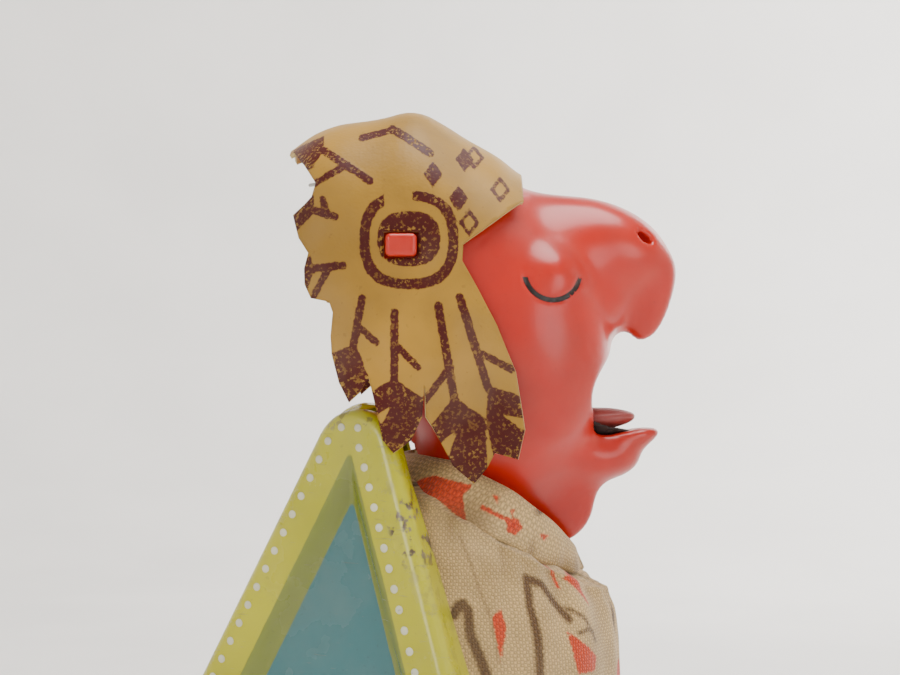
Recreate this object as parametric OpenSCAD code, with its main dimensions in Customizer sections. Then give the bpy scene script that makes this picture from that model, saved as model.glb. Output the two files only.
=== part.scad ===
/* [Body] */
// Forward place of the body's upright axis, which with the next centres the whole toy on its origin
axis_x = 7.173; // [5:0.001:10]
// Sideways place of the same axis
axis_y = -3.603; // [-6:0.001:0]
// Outside radius of the tin body at its widest
body_r = 31; // [30:0.5:33]
// Height of the widest ring
waist_z = 72; // [70:1:74]
// Height of the body's open bottom edge
body_bottom = 47; // [46.5:0.25:48]
// Outside radius at the shoulder, where the dome begins
shoulder_r = 25.4; // [25:0.1:26.5]
// Height of the shoulder
shoulder_z = 125.5; // [124:0.5:127]
// Thickness of the tin
tin = 0.6; // [0.4:0.1:0.8]
// Height of the neck opening's plane on the body's axis
neck_z = 139.8; // [139:0.1:140.5]
// Slope of the neck opening, down to the front
neck_tilt = 29.6; // [28:0.2:31]

/* [Smock and collar] */
// Thickness of the cotton
cloth = 0.9; // [0.6:0.1:1.2]
// Height of the smock's hem
hem_z = 58; // [56:1:60]
// Radius of the collar's top edge
collar_r = 18.7; // [18:0.1:19.5]
// How far the collar's lower edge flares
collar_flare = 3.3; // [2:0.1:4]

/* [Head] */
// Wall of the moulded head
head_wall = 1.4; // [1.2:0.1:1.6]
// Radius of the two crown masses
crown_r = 24.7; // [24:0.1:25]
// Height of the nodding pivot
nod_z = 150; // [149:0.5:151]
// Radius of the neck pin
neck_pin_r = 1.2; // [1:0.1:1.5]

/* [Hood] */
// Outside radius of the hood's crown
hood_r = 27; // [26.5:0.1:27.5]
// Thickness of the hood's vinyl
hood_t = 1; // [0.8:0.1:1.2]
// Width of the ear tab that holds the hood
tab_w = 5.6; // [5:0.1:6]
// Height of the ear tab
tab_h = 4.1; // [3.5:0.1:4.5]

/* [Wings] */
// Height between the centres of a wing's top and bottom rounded corners
wing_drop = 56.3; // [54:0.1:57]
// Forward reach of the front corner's centre
wing_front = 17; // [16:0.5:20]
// Backward reach of the rear corner's centre
wing_rear = 32.5; // [31:0.5:33]
// Radius of the rounded corners
wing_corner = 9; // [8:0.5:10]
// Depth of the rolled edge
wing_depth = 4; // [3.5:0.5:4]
// Width of the raised border
wing_border = 12; // [10:0.5:13]
// How far the middle panel is sunk
wing_sink = 0.7; // [0.6:0.1:0.8]
// Turn of a wing away from straight ahead
wing_turn = 30; // [28:1:32]
// Outward lean of a wing at rest
wing_lean = 7.7; // [7:0.1:8.5]
// Backward tilt of a wing in its own plane
wing_tilt = 4; // [3:0.5:5]

/* [Clockwork] */
// Tooth module
gear_m = 0.8; // [0.8:0.1:0.8]
// Teeth on the great wheel
great_teeth = 40; // [40:4:40]
// Teeth on the second wheel
second_teeth = 36; // [36:4:36]
// Teeth on the third wheel
third_teeth = 28; // [28:2:28]
// Teeth on every pinion
pinion_teeth = 12; // [12:1:12]
// Distance between the frame plates
frame_gap = 22; // [22:0.5:22.5]
// Thickness of the frame plates
plate_t = 1; // [0.8:0.1:1.1]
// Radius of the coiled mainspring
spring_r = 12.8; // [12:0.1:13]
// Running clearance of a shaft in its hole, on the radius
run = 0.05; // [0.03:0.01:0.08]
// Throw of the two cranks
crank_throw = 4; // [3.5:0.1:4.2]

/* [Legs] */
// Thickness of the leg plates
leg_t = 1.5; // [1.2:0.1:1.6]
// Inside face of the leg plates from the middle
leg_y = 14.8; // [14.6:0.1:15]
// Thickness of a foot
foot_t = 1.6; // [1.2:0.1:2]
// Half width of a toe
toe_r = 3; // [2.5:0.1:3.3]

/* [Hidden] */
$fn = 64;
fixed = 0.02;                       // gap between pieces that are pressed together
half_gap = frame_gap / 2;
spring_arbor = [11, 68];            // [x, z] of each arbor and pivot
crank_arbor = [-8.5, 66];
mesh_great = gear_m * (great_teeth + pinion_teeth) / 2;
mesh_second = gear_m * (second_teeth + pinion_teeth) / 2;
mesh_third = gear_m * (third_teeth + pinion_teeth) / 2;
second_arbor_at = upper_meet(spring_arbor, crank_arbor, mesh_great, mesh_second);
governor_at = crank_arbor + mesh_third * [cos(150), sin(150)];
hip = [-13, 53];
nod_at = [0, nod_z];
great_y = [5, 6.5];                 // [from, to] layers of the wheels, across the frame
ratchet_y = [3.4, 4.6];
spring_y = [-7.5, 2.9];
second_y = [8, 9.2];
third_y = [-10, -8.8];
pillars_at = [[19, 51], [21, 92], [-18, 95], [-2, 111]];
spring_arbor_r = 2.2;
small_arbor_r = 1.4;
crank_shaft_r = 1.5;
governor_arbor_r = 1;
hip_r = 1.5;
hinge_z = 150;                      // the wings' hinge line
hinge_reach = 23.8;                 // its distance from the body's axis
hinge_along = -7.2;                 // its middle, along the wing's own line
wing_out = 3.6;                     // from the hinge line out to a wing's face
apex_above = 6;                     // a wing's top above its hinge line
bracket_foot = [-22, -30];          // ends of a bracket's foot below the hinge line
bracket_holes = [-24, -28];
shoulder_drop = 5;                  // body's top below the neck opening's plane
neck_hole_r = 16.4;
crown_balls = [[-7, 187], [8, 175]];
face_balls = [[10, 157, 20], [27, 189, 11.5], [32, 190, 10], [21, 143, 12]];
tab_at = [-11.3, 187.4];
stop_pivot_x = -4;

// ---- Helpers ----

// The upper point at distance rp from p and rq from q
function upper_meet(p, q, rp, rq) =
    let (d = norm(q - p), e = (q - p) / d, a = (rp * rp - rq * rq + d * d) / (2 * d),
         h = sqrt(rp * rp - a * a), n = e[0] < 0 ? [e[1], -e[0]] : [-e[1], e[0]])
    p + a * e + h * n;

// Turn that puts a gear of n2 teeth in mesh with one of n1 teeth turned by r1, seen along phi
function mesh_turn(r1, n1, n2, phi) = phi + 180 - (r1 - phi) * n1 / n2 + 180 / n2;

function bearing(p, q) = atan2(q[1] - p[1], q[0] - p[0]);

// A flat outline drawn in x and z, as a plate from y[0] to y[1]
module across(at, y) {
    translate([at[0], 0, at[1]]) rotate([90, 0, 0]) translate([0, 0, -y[1]])
        linear_extrude(y[1] - y[0]) children();
}

// A round rod across the toy
module rod(at, r, y) {
    translate([at[0], y[0], at[1]]) rotate([-90, 0, 0]) cylinder(r = r, h = y[1] - y[0]);
}

// A flat bar from p to q with a round far end, its sides a hair inside the round
module bar(p, q, r) {
    translate(q) circle(r);
    translate(p) rotate(bearing(p, q)) translate([0, 0.03 - r]) square([norm(q - p), 2 * r - 0.06]);
}

// A flat bent bar with round ends and elbows
module path(points, r) {
    translate(points[0]) circle(r);
    for (i = [1:len(points) - 1]) bar(points[i - 1], points[i], r);
}

module on_both_sides() {
    children();
    mirror([0, 1, 0]) children();
}

module left_half() { intersection() { children(); translate([-150, 0.01, -10]) cube([300, 150, 300]); } }

// Everything stands on the body's axis
module stand() { translate([axis_x, axis_y, 0]) children(); }

// ---- Body ----

// Outside radius of the body at a height: a barrel below, a dome above the shoulder
function body_at(z) =
    z < waist_z ? body_r - 6 * pow((waist_z - z) / 24, 2)
    : z < shoulder_z ? body_r - (body_r - shoulder_r) * pow((z - waist_z) / (shoulder_z - waist_z), 2)
    : shoulder_r * sqrt(1 - pow((z - shoulder_z) / 26, 2));

// Half outline of the body from z0 up, at heights that every skin shares
function barrel(z0, grow) =
    [for (z = concat([z0], [for (z = [50.5:4:146.5]) if (z > z0 + 0.5) z])) [body_at(z) + grow, z]];

// Children's own z is square to the neck opening, from its middle
module at_neck() {
    translate([5.3, 0, neck_z - 5.3 * tan(neck_tilt)]) rotate([0, neck_tilt, 0]) children();
}

// The body filled in, from z0 up to its sloping top
module body_solid(z0, grow) {
    difference() {
        rotate_extrude() polygon(concat(barrel(z0, grow), [[0, 148], [0, z0]]));
        at_neck() translate([-60, -60, grow - shoulder_drop]) cube([120, 120, 60]);
    }
}

// A skin that follows the body, open below and round the neck
module body_skin(z0, inner, outer) {
    difference() {
        body_solid(z0, outer);
        body_solid(z0 - 1, inner);
        at_neck() translate([0, 0, -15]) cylinder(r = neck_hole_r, h = 20);
    }
}

module torso_half(key_hole_r) {
    left_half() difference() {
        body_skin(body_bottom, -tin, 0);
        rod(spring_arbor, key_hole_r, [20, 40]);
        on_both_sides() rivet_ways();
    }
}

module torso_left() { color("gold") torso_half(3.4); }

module torso_right() { color("gold") mirror([0, 1, 0]) torso_half(1); }

module smock() {
    color("wheat") difference() {
        body_skin(hem_z, fixed, cloth);
        rod(spring_arbor, 4.6, [20, 40]);
        on_both_sides() rivet_ways();
    }
}

module collar() {
    foot_z = cloth + fixed - shoulder_drop;
    color("wheat") at_neck() rotate_extrude()
        polygon([[collar_r - 2, 0.1], [collar_r, 0.1], [collar_r + collar_flare + 0.6, foot_z],
            [collar_r + collar_flare - 0.8, foot_z], [collar_r - 1.4, -1.6]]);
}

module base_plate() {
    color("silver") difference() {
        translate([0, 0, 46.8]) cylinder(r = 23.8, h = 0.8);
        on_both_sides() translate([-24, leg_y - 0.6, 46]) cube([15, leg_t + 1.2, 3]);
        translate([stop_pivot_x, 0, 46]) cylinder(r = 1.4 + fixed, h = 3);
    }
}

// ---- Frame ----

module frame_outline() {
    polygon([[-18, 47.7], [18, 47.7], [25, 62], [25, 95], [12, 119], [-12, 119], [-25, 95], [-25, 62]]);
}

module frame_plate(side) {
    y = side > 0 ? [half_gap, half_gap + plate_t] : [-half_gap - plate_t, -half_gap];
    wide = [-20, 20];
    difference() {
        across([0, 0], y) frame_outline();
        rod(spring_arbor, spring_arbor_r + run, wide);
        rod(second_arbor_at, small_arbor_r + run, wide);
        rod(crank_arbor, crank_shaft_r + run, wide);
        rod(governor_at, governor_arbor_r + run, wide);
        rod(hip, hip_r + run, wide);
        rod([-13, 106], 4, wide);
        rod([16, 104], 3, wide);
        for (p = pillars_at) rod(p, 1 + fixed, wide);
    }
}

module frame_plate_left() { color("silver") frame_plate(1); }

module frame_plate_right() { color("silver") frame_plate(-1); }

module frame_pillars() {
    color("gainsboro") for (p = pillars_at) {
        rod(p, 1.8, [-half_gap + fixed, half_gap - fixed]);
        rod(p, 1, [-half_gap - plate_t, half_gap + plate_t]);
    }
}

module pillar_screws() {
    color("darkgray") for (p = pillars_at) on_both_sides() difference() {
        rod(p, 2.2, [half_gap + plate_t + fixed, half_gap + plate_t + 0.9]);
        translate([p[0] - 3, half_gap + plate_t + 0.5, p[1] - 0.25]) cube([6, 1, 0.5]);
    }
}

module neck_post() {
    color("silver") difference() {
        union() {
            translate([-8, -half_gap - plate_t, 119 + fixed]) cube([12, frame_gap + 2 * plate_t, 1.2]);
            on_both_sides() {
                translate([-3, 5.5, 119.5]) cube([6, 1.2, nod_z - 119.5]);
                rod(nod_at, 3, [5.5, 6.7]);
            }
        }
        rod(nod_at, neck_pin_r + run, [-20, 20]);
    }
}

module mainspring() {
    turns = 5.5;
    thick = 0.5;
    steps = 132;
    inner = 3.6;
    function spiral(r_add, i) = let (t = i / steps) (inner + (spring_r - inner - thick) * t + r_add)
        * [cos(360 * turns * t), sin(360 * turns * t)];
    color("slategray") across(spring_arbor, spring_y)
        polygon(concat([for (i = [0:steps]) spiral(thick, i)], [for (i = [steps:-1:0]) spiral(0, i)]));
}

// ---- Wheels ----

// Outline of a gear, its first tooth centred on the x axis turned by turn
module gear_outline(n, turn, hole) {
    pitch_r = gear_m * n / 2;
    half = gear_m * 3.1416 / 4 - 0.07;
    tip_r = pitch_r + 0.75 * gear_m;
    root_r = pitch_r - 1.1 * gear_m;
    tip_a = (half - (tip_r - pitch_r) * tan(25)) / tip_r * 57.3;
    root_a = min((half + (pitch_r - root_r) * tan(25)) / root_r * 57.3, 168 / n);
    function at(r, a) = r * [cos(a), sin(a)];
    difference() {
        polygon([for (i = [0:n - 1]) let (a = turn + 360 * i / n)
            for (p = [[root_r, -root_a], [tip_r, -tip_a], [tip_r, tip_a], [root_r, root_a]])
            at(p[0], a + p[1])]);
        circle(hole);
    }
}

// A spoked wheel
module wheel(at, y, n, turn, hole, spoke_r) {
    across(at, y) difference() {
        gear_outline(n, turn, hole);
        for (a = [45:90:315]) rotate(a) translate([gear_m * n / 4 + 0.6, 0]) circle(spoke_r);
    }
}

second_turn = mesh_turn(0, great_teeth, pinion_teeth, bearing(spring_arbor, second_arbor_at));
crank_turn = mesh_turn(0, second_teeth, pinion_teeth, bearing(second_arbor_at, crank_arbor));
governor_turn = mesh_turn(0, third_teeth, pinion_teeth, bearing(crank_arbor, governor_at));

module great_wheel() {
    pawl_at = [0, 10.5];
    color("goldenrod") difference() {
        wheel(spring_arbor, great_y, great_teeth, 0, spring_arbor_r + run, 2.2);
        rod(spring_arbor + pawl_at, 0.8 + run, [0, 9]);
    }
}

module second_pinion() {
    color("goldenrod") across(second_arbor_at, [4.3, 7.3])
        gear_outline(pinion_teeth, second_turn, small_arbor_r + fixed);
}

module second_wheel() {
    color("goldenrod") wheel(second_arbor_at, second_y, second_teeth, 0, small_arbor_r + fixed, 2.6);
}

module crank_pinion() {
    color("goldenrod") across(crank_arbor, [7.5, 9.8])
        gear_outline(pinion_teeth, crank_turn, crank_shaft_r + fixed);
}

module third_wheel() {
    color("goldenrod") wheel(crank_arbor, third_y, third_teeth, 0, crank_shaft_r + fixed, 2.2);
}

module governor_pinion() {
    color("goldenrod") across(governor_at, [-10.5, -8.3])
        gear_outline(pinion_teeth, governor_turn, governor_arbor_r + fixed);
}

module winding_arbor() { color("silver") rod(spring_arbor, spring_arbor_r, [-13.2, 39]); }

module second_arbor() { color("silver") rod(second_arbor_at, small_arbor_r, [-12.8, 12.8]); }

module crank_shaft() { color("silver") rod(crank_arbor, crank_shaft_r, [-14.2, 14.2]); }

module governor_arbor() { color("silver") rod(governor_at, governor_arbor_r, [-12.8, 12.8]); }

module governor_fan() {
    color("silver") {
        difference() {
            rod(governor_at, 2.2, [-6, 6]);
            rod(governor_at, governor_arbor_r + fixed, [-7, 7]);
        }
        for (side = [-1, 1]) translate([governor_at[0] + side * 3.75 - 1.75, -5, governor_at[1] - 0.3])
            cube([3.5, 10, 0.6]);
    }
}

module ratchet_wheel() {
    n = 12;
    color("gray") across(spring_arbor, ratchet_y) difference() {
        polygon([for (i = [0:n - 1]) let (a = 360 * i / n)
            for (p = [[4.9, a], [6, a + 4], [6, a + 6]]) p[0] * [cos(p[1]), sin(p[1])]]);
        circle(spring_arbor_r + fixed);
    }
}

module click_pawl() {
    color("gray") {
        across(spring_arbor, ratchet_y) {
            translate([0, 10.5]) circle(1.6);
            bar([0, 10.5], [5.5, 4.3], 0.5);
        }
        rod(spring_arbor + [0, 10.5], 0.8, [ratchet_y[0], great_y[1] + 0.3]);
    }
}

module click_spring() {
    color("gainsboro") {
        across(spring_arbor, ratchet_y + [0, -0.3]) path([[-8.2, 8.6], [-2.2, 12.6]], 0.3);
        rod(spring_arbor + [-8.2, 8.6], 0.8, [ratchet_y[0], great_y[0] - fixed]);
    }
}

module nod_cam() {
    color("gray") across(second_arbor_at, [-1, 1]) difference() {
        translate([2, 0]) circle(5);
        circle(small_arbor_r + fixed);
    }
}

module key() {
    bow_y = 44;
    color("silver") difference() {
        union() {
            rod(spring_arbor, 3.2, [31.5, 41]);
            translate([spring_arbor[0] - 0.8, 0, spring_arbor[1]]) rotate([90, 0, 90])
                linear_extrude(1.6) difference() {
                    union() {
                        for (side = [-1, 1]) translate([bow_y, side * 5.4]) circle(5.2);
                        translate([39, -3.6]) square([7, 7.2]);
                    }
                    for (side = [-1, 1]) translate([bow_y, side * 5.6]) circle(2.8);
                }
        }
        rod(spring_arbor, spring_arbor_r + fixed, [31, 39 + fixed]);
    }
}

module crank(side) {
    y = side > 0 ? [12.6, 13.7] : [-13.7, -12.6];
    pin_y = side > 0 ? [13.6, 17.4] : [-17.4, -13.6];
    across(crank_arbor, y) difference() {
        circle(5.8);
        circle(crank_shaft_r + fixed);
    }
    rod(crank_arbor + [0, crank_throw], 1, pin_y);
}

module crank_left() { color("gray") crank(1); }

module crank_right() { color("gray") crank(-1); }

// ---- Legs ----

module hip_axle() { color("silver") rod(hip, hip_r, [-17.2, 17.2]); }

module leg_outline() {
    difference() {
        union() {
            translate(hip) circle(4);
            path([[-13, 48], [-13, 44], [-17, 28], [-12, 6]], 2.6);
            bar(hip, [-4.5, 58.6], 1.8);
        }
        translate(hip) circle(hip_r + fixed);
        for (z = [4.5, 9]) translate([-12 - (z - 6) * 0.2, z]) circle(0.9 + fixed);
    }
}

module leg() { across([0, 0], [leg_y, leg_y + leg_t]) leg_outline(); }

module leg_left() { color("orange") leg(); }

module leg_right() { color("orange") mirror([0, 1, 0]) leg(); }

module foot() {
    ankle = [-12, leg_y + 2];
    tips = [[32, 17], [23, 31], [23, 5.5], [-27, 17]];
    outer_y = leg_y + leg_t + fixed;
    difference() {
        union() {
            linear_extrude(foot_t) {
                for (tip = tips) bar(ankle, tip, toe_r);
                translate(ankle) circle(5.5);
            }
            translate([-16, outer_y, 0]) cube([8, 1.2, 11.5]);
        }
        for (z = [4.5, 9]) rod([-12 - (z - 6) * 0.2, z], 0.9 + fixed, [10, 25]);
    }
}

module foot_left() { color("orange") foot(); }

module foot_right() { color("orange") mirror([0, 1, 0]) foot(); }

module foot_rivets() {
    outer_y = leg_y + leg_t + fixed + 1.2;
    color("silver") on_both_sides() for (z = [4.5, 9]) {
        rod([-12 - (z - 6) * 0.2, z], 0.9, [leg_y - 0.7, outer_y + 0.7]);
        rod([-12 - (z - 6) * 0.2, z], 1.6, [leg_y - 0.7, leg_y - fixed]);
        rod([-12 - (z - 6) * 0.2, z], 1.6, [outer_y + fixed, outer_y + 0.7]);
    }
}

module leg_spring() {
    coil_r = 2.4;
    wire_r = 0.42;
    color("gainsboro") for (i = [-3:3]) translate([hip[0], i * 2 * wire_r * 1.1, hip[1]])
        rotate([90, 0, 0]) rotate_extrude() translate([coil_r, 0]) circle(wire_r, $fn = 24);
}

// ---- Head ----

module balls(list, shrink) {
    for (b = list) translate([b[0], 0, b[1]]) sphere(b[2] - shrink);
}

module head_mass(shrink) {
    balls([for (c = crown_balls) [c[0], c[1], crown_r]], shrink);
    balls(face_balls, shrink);
}

module head_half() {
    left_half() difference() {
        union() {
            difference() {
                head_mass(0);
                head_mass(head_wall);
                translate([2, 0, 118]) cylinder(r = 12.5, h = 30);
                translate([22, 0, 163]) rotate([0, 90, 0]) cylinder(r = 7.5, h = 30);
            }
            rod(nod_at, 3, [8, 15.2]);
            translate([tab_at[0] - tab_w / 2, crown_r - 2.2, tab_at[1] - tab_h / 2])
                cube([tab_w, hood_r + 1.4 - crown_r + 2.2, tab_h]);
        }
        rod(nod_at, neck_pin_r + fixed, [5, 14.8]);
    }
}

module head_shell_left() { color("orangered") head_half(); }

module head_shell_right() { color("orangered") mirror([0, 1, 0]) head_half(); }

module mouth_liner() {
    color("maroon") difference() {
        translate([13, 0, 163]) rotate([0, 90, 0]) cylinder(r = 7.2, h = 13);
        translate([14, 0, 163]) rotate([0, 90, 0]) cylinder(r = 6.4, h = 13);
    }
}

module tongue() {
    color("firebrick") intersection() {
        translate([14.1, 0, 152.6]) rotate([0, 82, 0]) translate([-2, 0, 0])
            cylinder(r = 6, h = 13.5);
        translate([14.1, 0, 163]) rotate([0, 90, 0]) cylinder(r = 6.3, h = 15);
    }
}

module neck_pin() { color("silver") rod(nod_at, neck_pin_r, [-14.6, 14.6]); }

module nod_lever() {
    color("gray") across([0, 0], [-0.7, 0.7]) difference() {
        union() {
            translate(nod_at) circle(2.6);
            path([[1, 147], [8.5, 122], [6, 92.5]], 1.3);
        }
        translate(nod_at) circle(neck_pin_r + fixed);
    }
}

// Solid inside one face of the hood: two balls joined by a straight run, and a skirt below
module hood_mass(r) {
    run_len = norm(crown_balls[1] - crown_balls[0]);
    slope = bearing(crown_balls[0], crown_balls[1]);
    for (c = crown_balls) translate([c[0], 0, c[1]]) sphere(r);
    translate([crown_balls[0][0], 0, crown_balls[0][1]]) rotate([0, 90 - slope, 0])
        cylinder(r = r, h = run_len);
    difference() {
        translate([0, 0, 130]) linear_extrude(57) {
            for (c = crown_balls) translate([c[0], 0]) circle(r);
            translate([crown_balls[0][0], -r]) square([crown_balls[1][0] - crown_balls[0][0], 2 * r]);
        }
        translate([crown_balls[0][0], 0, crown_balls[0][1]]) rotate([0, 90 - slope, 0])
            translate([-60, -60, -60]) cube([60, 120, 160]);
    }
}

// Side outline of the hood: band over the brow, four cut feathers, two back lobes
module hood_outline() {
    polygon([[12, 215], [11.8, 196], [0.2, 188], [1.7, 184], [5.5, 179], [9.2, 169.5], [11.6, 158],
        [12, 151], [11, 147.2], [5.8, 148.6], [1.9, 142.8], [-3, 147.5], [-7, 155.5], [-8.6, 152],
        [-12.2, 149.8], [-14.8, 155], [-16.8, 165.4], [-20.7, 158.3], [-24.4, 167.7], [-24.9, 176.6],
        [-29.5, 177.7], [-33.2, 194], [-31, 206], [-24, 215]]);
}

module hood() {
    $fn = 40;
    color("tan") difference() {
        intersection() {
            difference() {
                hood_mass(hood_r);
                hood_mass(hood_r - hood_t);
            }
            across([0, 0], [-40, 40]) hood_outline();
        }
        on_both_sides() translate([tab_at[0] - tab_w / 2 - 0.4, 20, tab_at[1] - tab_h / 2 - 0.4])
            cube([tab_w + 0.8, 12, tab_h + 0.8]);
    }
}

module hood_staples() {
    color("silver") on_both_sides() translate([-28.35, 11.6, 199.7])
        rotate([0, 90, 61.5]) cylinder(r = 0.35, h = 4, center = true);
}

// ---- Wings ----

// A wing's own place: x along the wing, y inward, origin on the hinge line
module at_wing() {
    rotate([0, 0, -wing_turn]) translate([hinge_along, -hinge_reach, hinge_z]) children();
}

// Centres of a wing's three round corners, with the top one at [0, top]
function wing_corners(top) = [[0, top], [wing_front, top - wing_drop], [-wing_rear, top - wing_drop]];

// A triangle with its sides moved in by d
function inset(t, d) =
    let (a = norm(t[1] - t[2]), b = norm(t[2] - t[0]), c = norm(t[0] - t[1]),
         middle = (a * t[0] + b * t[1] + c * t[2]) / (a + b + c),
         r = abs(cross(t[1] - t[0], t[2] - t[0])) / (a + b + c))
    [for (p = t) middle + (p - middle) * (1 - d / r)];

// A triangle with round corners of radius r
module round_triangle(corners, r) {
    for (i = [0:2]) bar(corners[i], corners[(i + 1) % 3], r);
    polygon(corners);
}

module wing() {
    corners = wing_corners(apex_above - wing_corner);
    field = inset(corners, wing_border - wing_corner);
    panel = inset(corners, wing_border - wing_corner - 0.6);
    rotate([-wing_lean, 0, 0]) rotate([0, -wing_tilt, 0]) translate([0, -wing_out, 0]) {
        // rolled edge
        across([0, 0], [0, wing_depth]) difference() {
            round_triangle(corners, wing_corner);
            round_triangle(corners, wing_corner - tin);
        }
        // raised border
        across([0, 0], [0, tin]) difference() {
            round_triangle(corners, wing_corner - tin / 2);
            polygon(field);
        }
        // sunk middle panel and its step
        across([0, 0], [wing_sink, wing_sink + tin]) polygon(panel);
        across([0, 0], [0.1, wing_sink + 0.1]) difference() {
            polygon(panel);
            polygon(field);
        }
    }
    // hinge ears
    for (x = [-5.6, 4.4]) translate([x, 0, 0]) rotate([90, 0, 90]) linear_extrude(1.2) difference() {
        path([[0, 0], [-2.6, -0.3]], 2);
        circle(1 + fixed);
    }
}

module wing_pin() { translate([-6.4, 0, 0]) rotate([0, 90, 0]) cylinder(r = 1, h = 12.8); }

bracket_reach = body_at(hinge_z + bracket_foot[1]) + cloth + 0.15 - hinge_reach;
bracket_t = 0.7;

module wing_bracket() {
    out = bracket_reach + bracket_t;
    difference() {
        rotate([90, 0, 90]) translate([0, 0, -4]) linear_extrude(8) {
            circle(2);
            polygon([[0.4, 0], [-0.5, -0.4], [-out, bracket_foot[0]], [-out, bracket_foot[1]],
                [-bracket_reach, bracket_foot[1]], [-bracket_reach, bracket_foot[0]]]);
        }
        translate([-8, 0, 0]) rotate([0, 90, 0]) cylinder(r = 1 + run, h = 16);
        for (z = bracket_holes) translate([0, 0, z]) rotate([90, 0, 0]) cylinder(r = 1 + fixed, h = 20);
    }
}

// Holes that let a right bracket's rivets through the smock and the tin
module rivet_ways() {
    at_wing() for (z = bracket_holes) translate([0, 0, z]) rotate([90, 0, 0])
        cylinder(r = 1 + fixed, h = 12);
}

module wing_bracket_rivets() {
    for (z = bracket_holes) translate([0, 0, z]) rotate([90, 0, 0]) {
        translate([0, 0, bracket_reach - 2.6]) cylinder(r = 1, h = 2.6 + bracket_t + 0.1);
        translate([0, 0, bracket_reach + bracket_t + fixed]) cylinder(r = 1.6, h = 0.4);
    }
}

module wing_right() { color("gold") at_wing() wing(); }

module wing_left() { color("gold") mirror([0, 1, 0]) at_wing() wing(); }

module wing_pin_right() { color("silver") at_wing() wing_pin(); }

module wing_pin_left() { color("silver") mirror([0, 1, 0]) at_wing() wing_pin(); }

module wing_bracket_right() { color("silver") at_wing() wing_bracket(); }

module wing_bracket_left() { color("silver") mirror([0, 1, 0]) at_wing() wing_bracket(); }

module bracket_rivets() { color("gray") on_both_sides() at_wing() wing_bracket_rivets(); }

// ---- Stop lever ----

module stop_lever() {
    color("silver") translate([stop_pivot_x, 0, 45.6]) difference() {
        union() {
            linear_extrude(0.8) path([[0, 0], [-25, 0]], 2.6);
            translate([-25, 0, -4]) cylinder(r = 2, h = 4.2);
        }
        translate([0, 0, -1]) cylinder(r = 1.4 + run, h = 3);
    }
}

module stop_lever_rivet() {
    color("gray") translate([stop_pivot_x, 0, 0]) {
        translate([0, 0, 45.2]) cylinder(r = 1.4, h = 3);
        translate([0, 0, 44.7]) cylinder(r = 2.6, h = 0.55);
        translate([0, 0, 47.6 + fixed]) cylinder(r = 2.2, h = 0.6);
    }
}

stand() torso_left();
stand() torso_right();
stand() smock();
stand() collar();
stand() base_plate();
stand() frame_plate_left();
stand() frame_plate_right();
stand() frame_pillars();
stand() pillar_screws();
stand() neck_post();
stand() wing_bracket_left();
stand() wing_bracket_right();
stand() bracket_rivets();
stand() mainspring();
stand() head_shell_left();
stand() head_shell_right();
stand() mouth_liner();
stand() tongue();
stand() hood();
stand() hood_staples();
stand() neck_pin();
stand() nod_lever();
stand() wing_left();
stand() wing_right();
stand() wing_pin_left();
stand() wing_pin_right();
stand() hip_axle();
stand() leg_left();
stand() leg_right();
stand() foot_left();
stand() foot_right();
stand() foot_rivets();
stand() leg_spring();
stand() winding_arbor();
stand() ratchet_wheel();
stand() key();
stand() great_wheel();
stand() click_pawl();
stand() click_spring();
stand() second_arbor();
stand() second_pinion();
stand() second_wheel();
stand() nod_cam();
stand() crank_shaft();
stand() crank_pinion();
stand() third_wheel();
stand() crank_left();
stand() crank_right();
stand() governor_arbor();
stand() governor_pinion();
stand() governor_fan();
stand() stop_lever();
stand() stop_lever_rivet();
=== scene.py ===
"""Detailed looks for a wind-up hopping chicken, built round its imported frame.

Every length in the shape code is in millimetres from the body's upright axis, which place() turns
into the frame's metres.
"""

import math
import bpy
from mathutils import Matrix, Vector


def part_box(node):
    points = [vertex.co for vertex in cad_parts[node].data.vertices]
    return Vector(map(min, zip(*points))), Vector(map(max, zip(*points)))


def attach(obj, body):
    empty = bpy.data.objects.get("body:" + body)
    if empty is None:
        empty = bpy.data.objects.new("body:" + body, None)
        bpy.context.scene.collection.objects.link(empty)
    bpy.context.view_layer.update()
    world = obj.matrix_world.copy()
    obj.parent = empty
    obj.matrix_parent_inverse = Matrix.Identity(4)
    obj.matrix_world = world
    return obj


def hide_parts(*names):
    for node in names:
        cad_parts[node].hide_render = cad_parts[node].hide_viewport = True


bl_info = {
    "name": "Wind-up hopping chicken",
    "version": (1, 0, 0),
    "blender": (4, 5, 0),
    "location": "View3D > Sidebar > Chicken",
    "description": "Head, printed hood, smock, tin wings, feet, clockwork finishes and stage",
    "category": "Object",
}

import bpy
import numpy as np
from bpy.props import FloatProperty, FloatVectorProperty, IntProperty, PointerProperty
from mathutils import Vector
from mathutils.geometry import delaunay_2d_cdt

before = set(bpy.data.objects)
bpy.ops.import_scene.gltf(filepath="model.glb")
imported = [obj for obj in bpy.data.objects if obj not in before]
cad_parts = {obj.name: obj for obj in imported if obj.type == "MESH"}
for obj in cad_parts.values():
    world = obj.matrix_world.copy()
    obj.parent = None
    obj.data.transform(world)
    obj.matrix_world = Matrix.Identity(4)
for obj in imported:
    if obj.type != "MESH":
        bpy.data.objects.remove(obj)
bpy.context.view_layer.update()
AXIS = (500 * (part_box("torso_left")[0].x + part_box("torso_left")[1].x),
        500 * (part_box("torso_right")[0].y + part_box("torso_left")[1].y), 0)


def rgb(r, g, b):
    """Linear colour from display values of 0 to 255."""
    return tuple((c / 255 / 12.92) if c < 11 else ((c / 255 + 0.055) / 1.055) ** 2.4 for c in (r, g, b))


def colour(name, about, value):
    return FloatVectorProperty(name=name, description=about, default=rgb(*value), size=3, min=0, max=1,
                               subtype="COLOR")


def length(name, about, value, low, high):
    return FloatProperty(name=name, description=about, default=value / 1000, min=low / 1000,
                         max=high / 1000, unit="LENGTH", precision=5)


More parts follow.
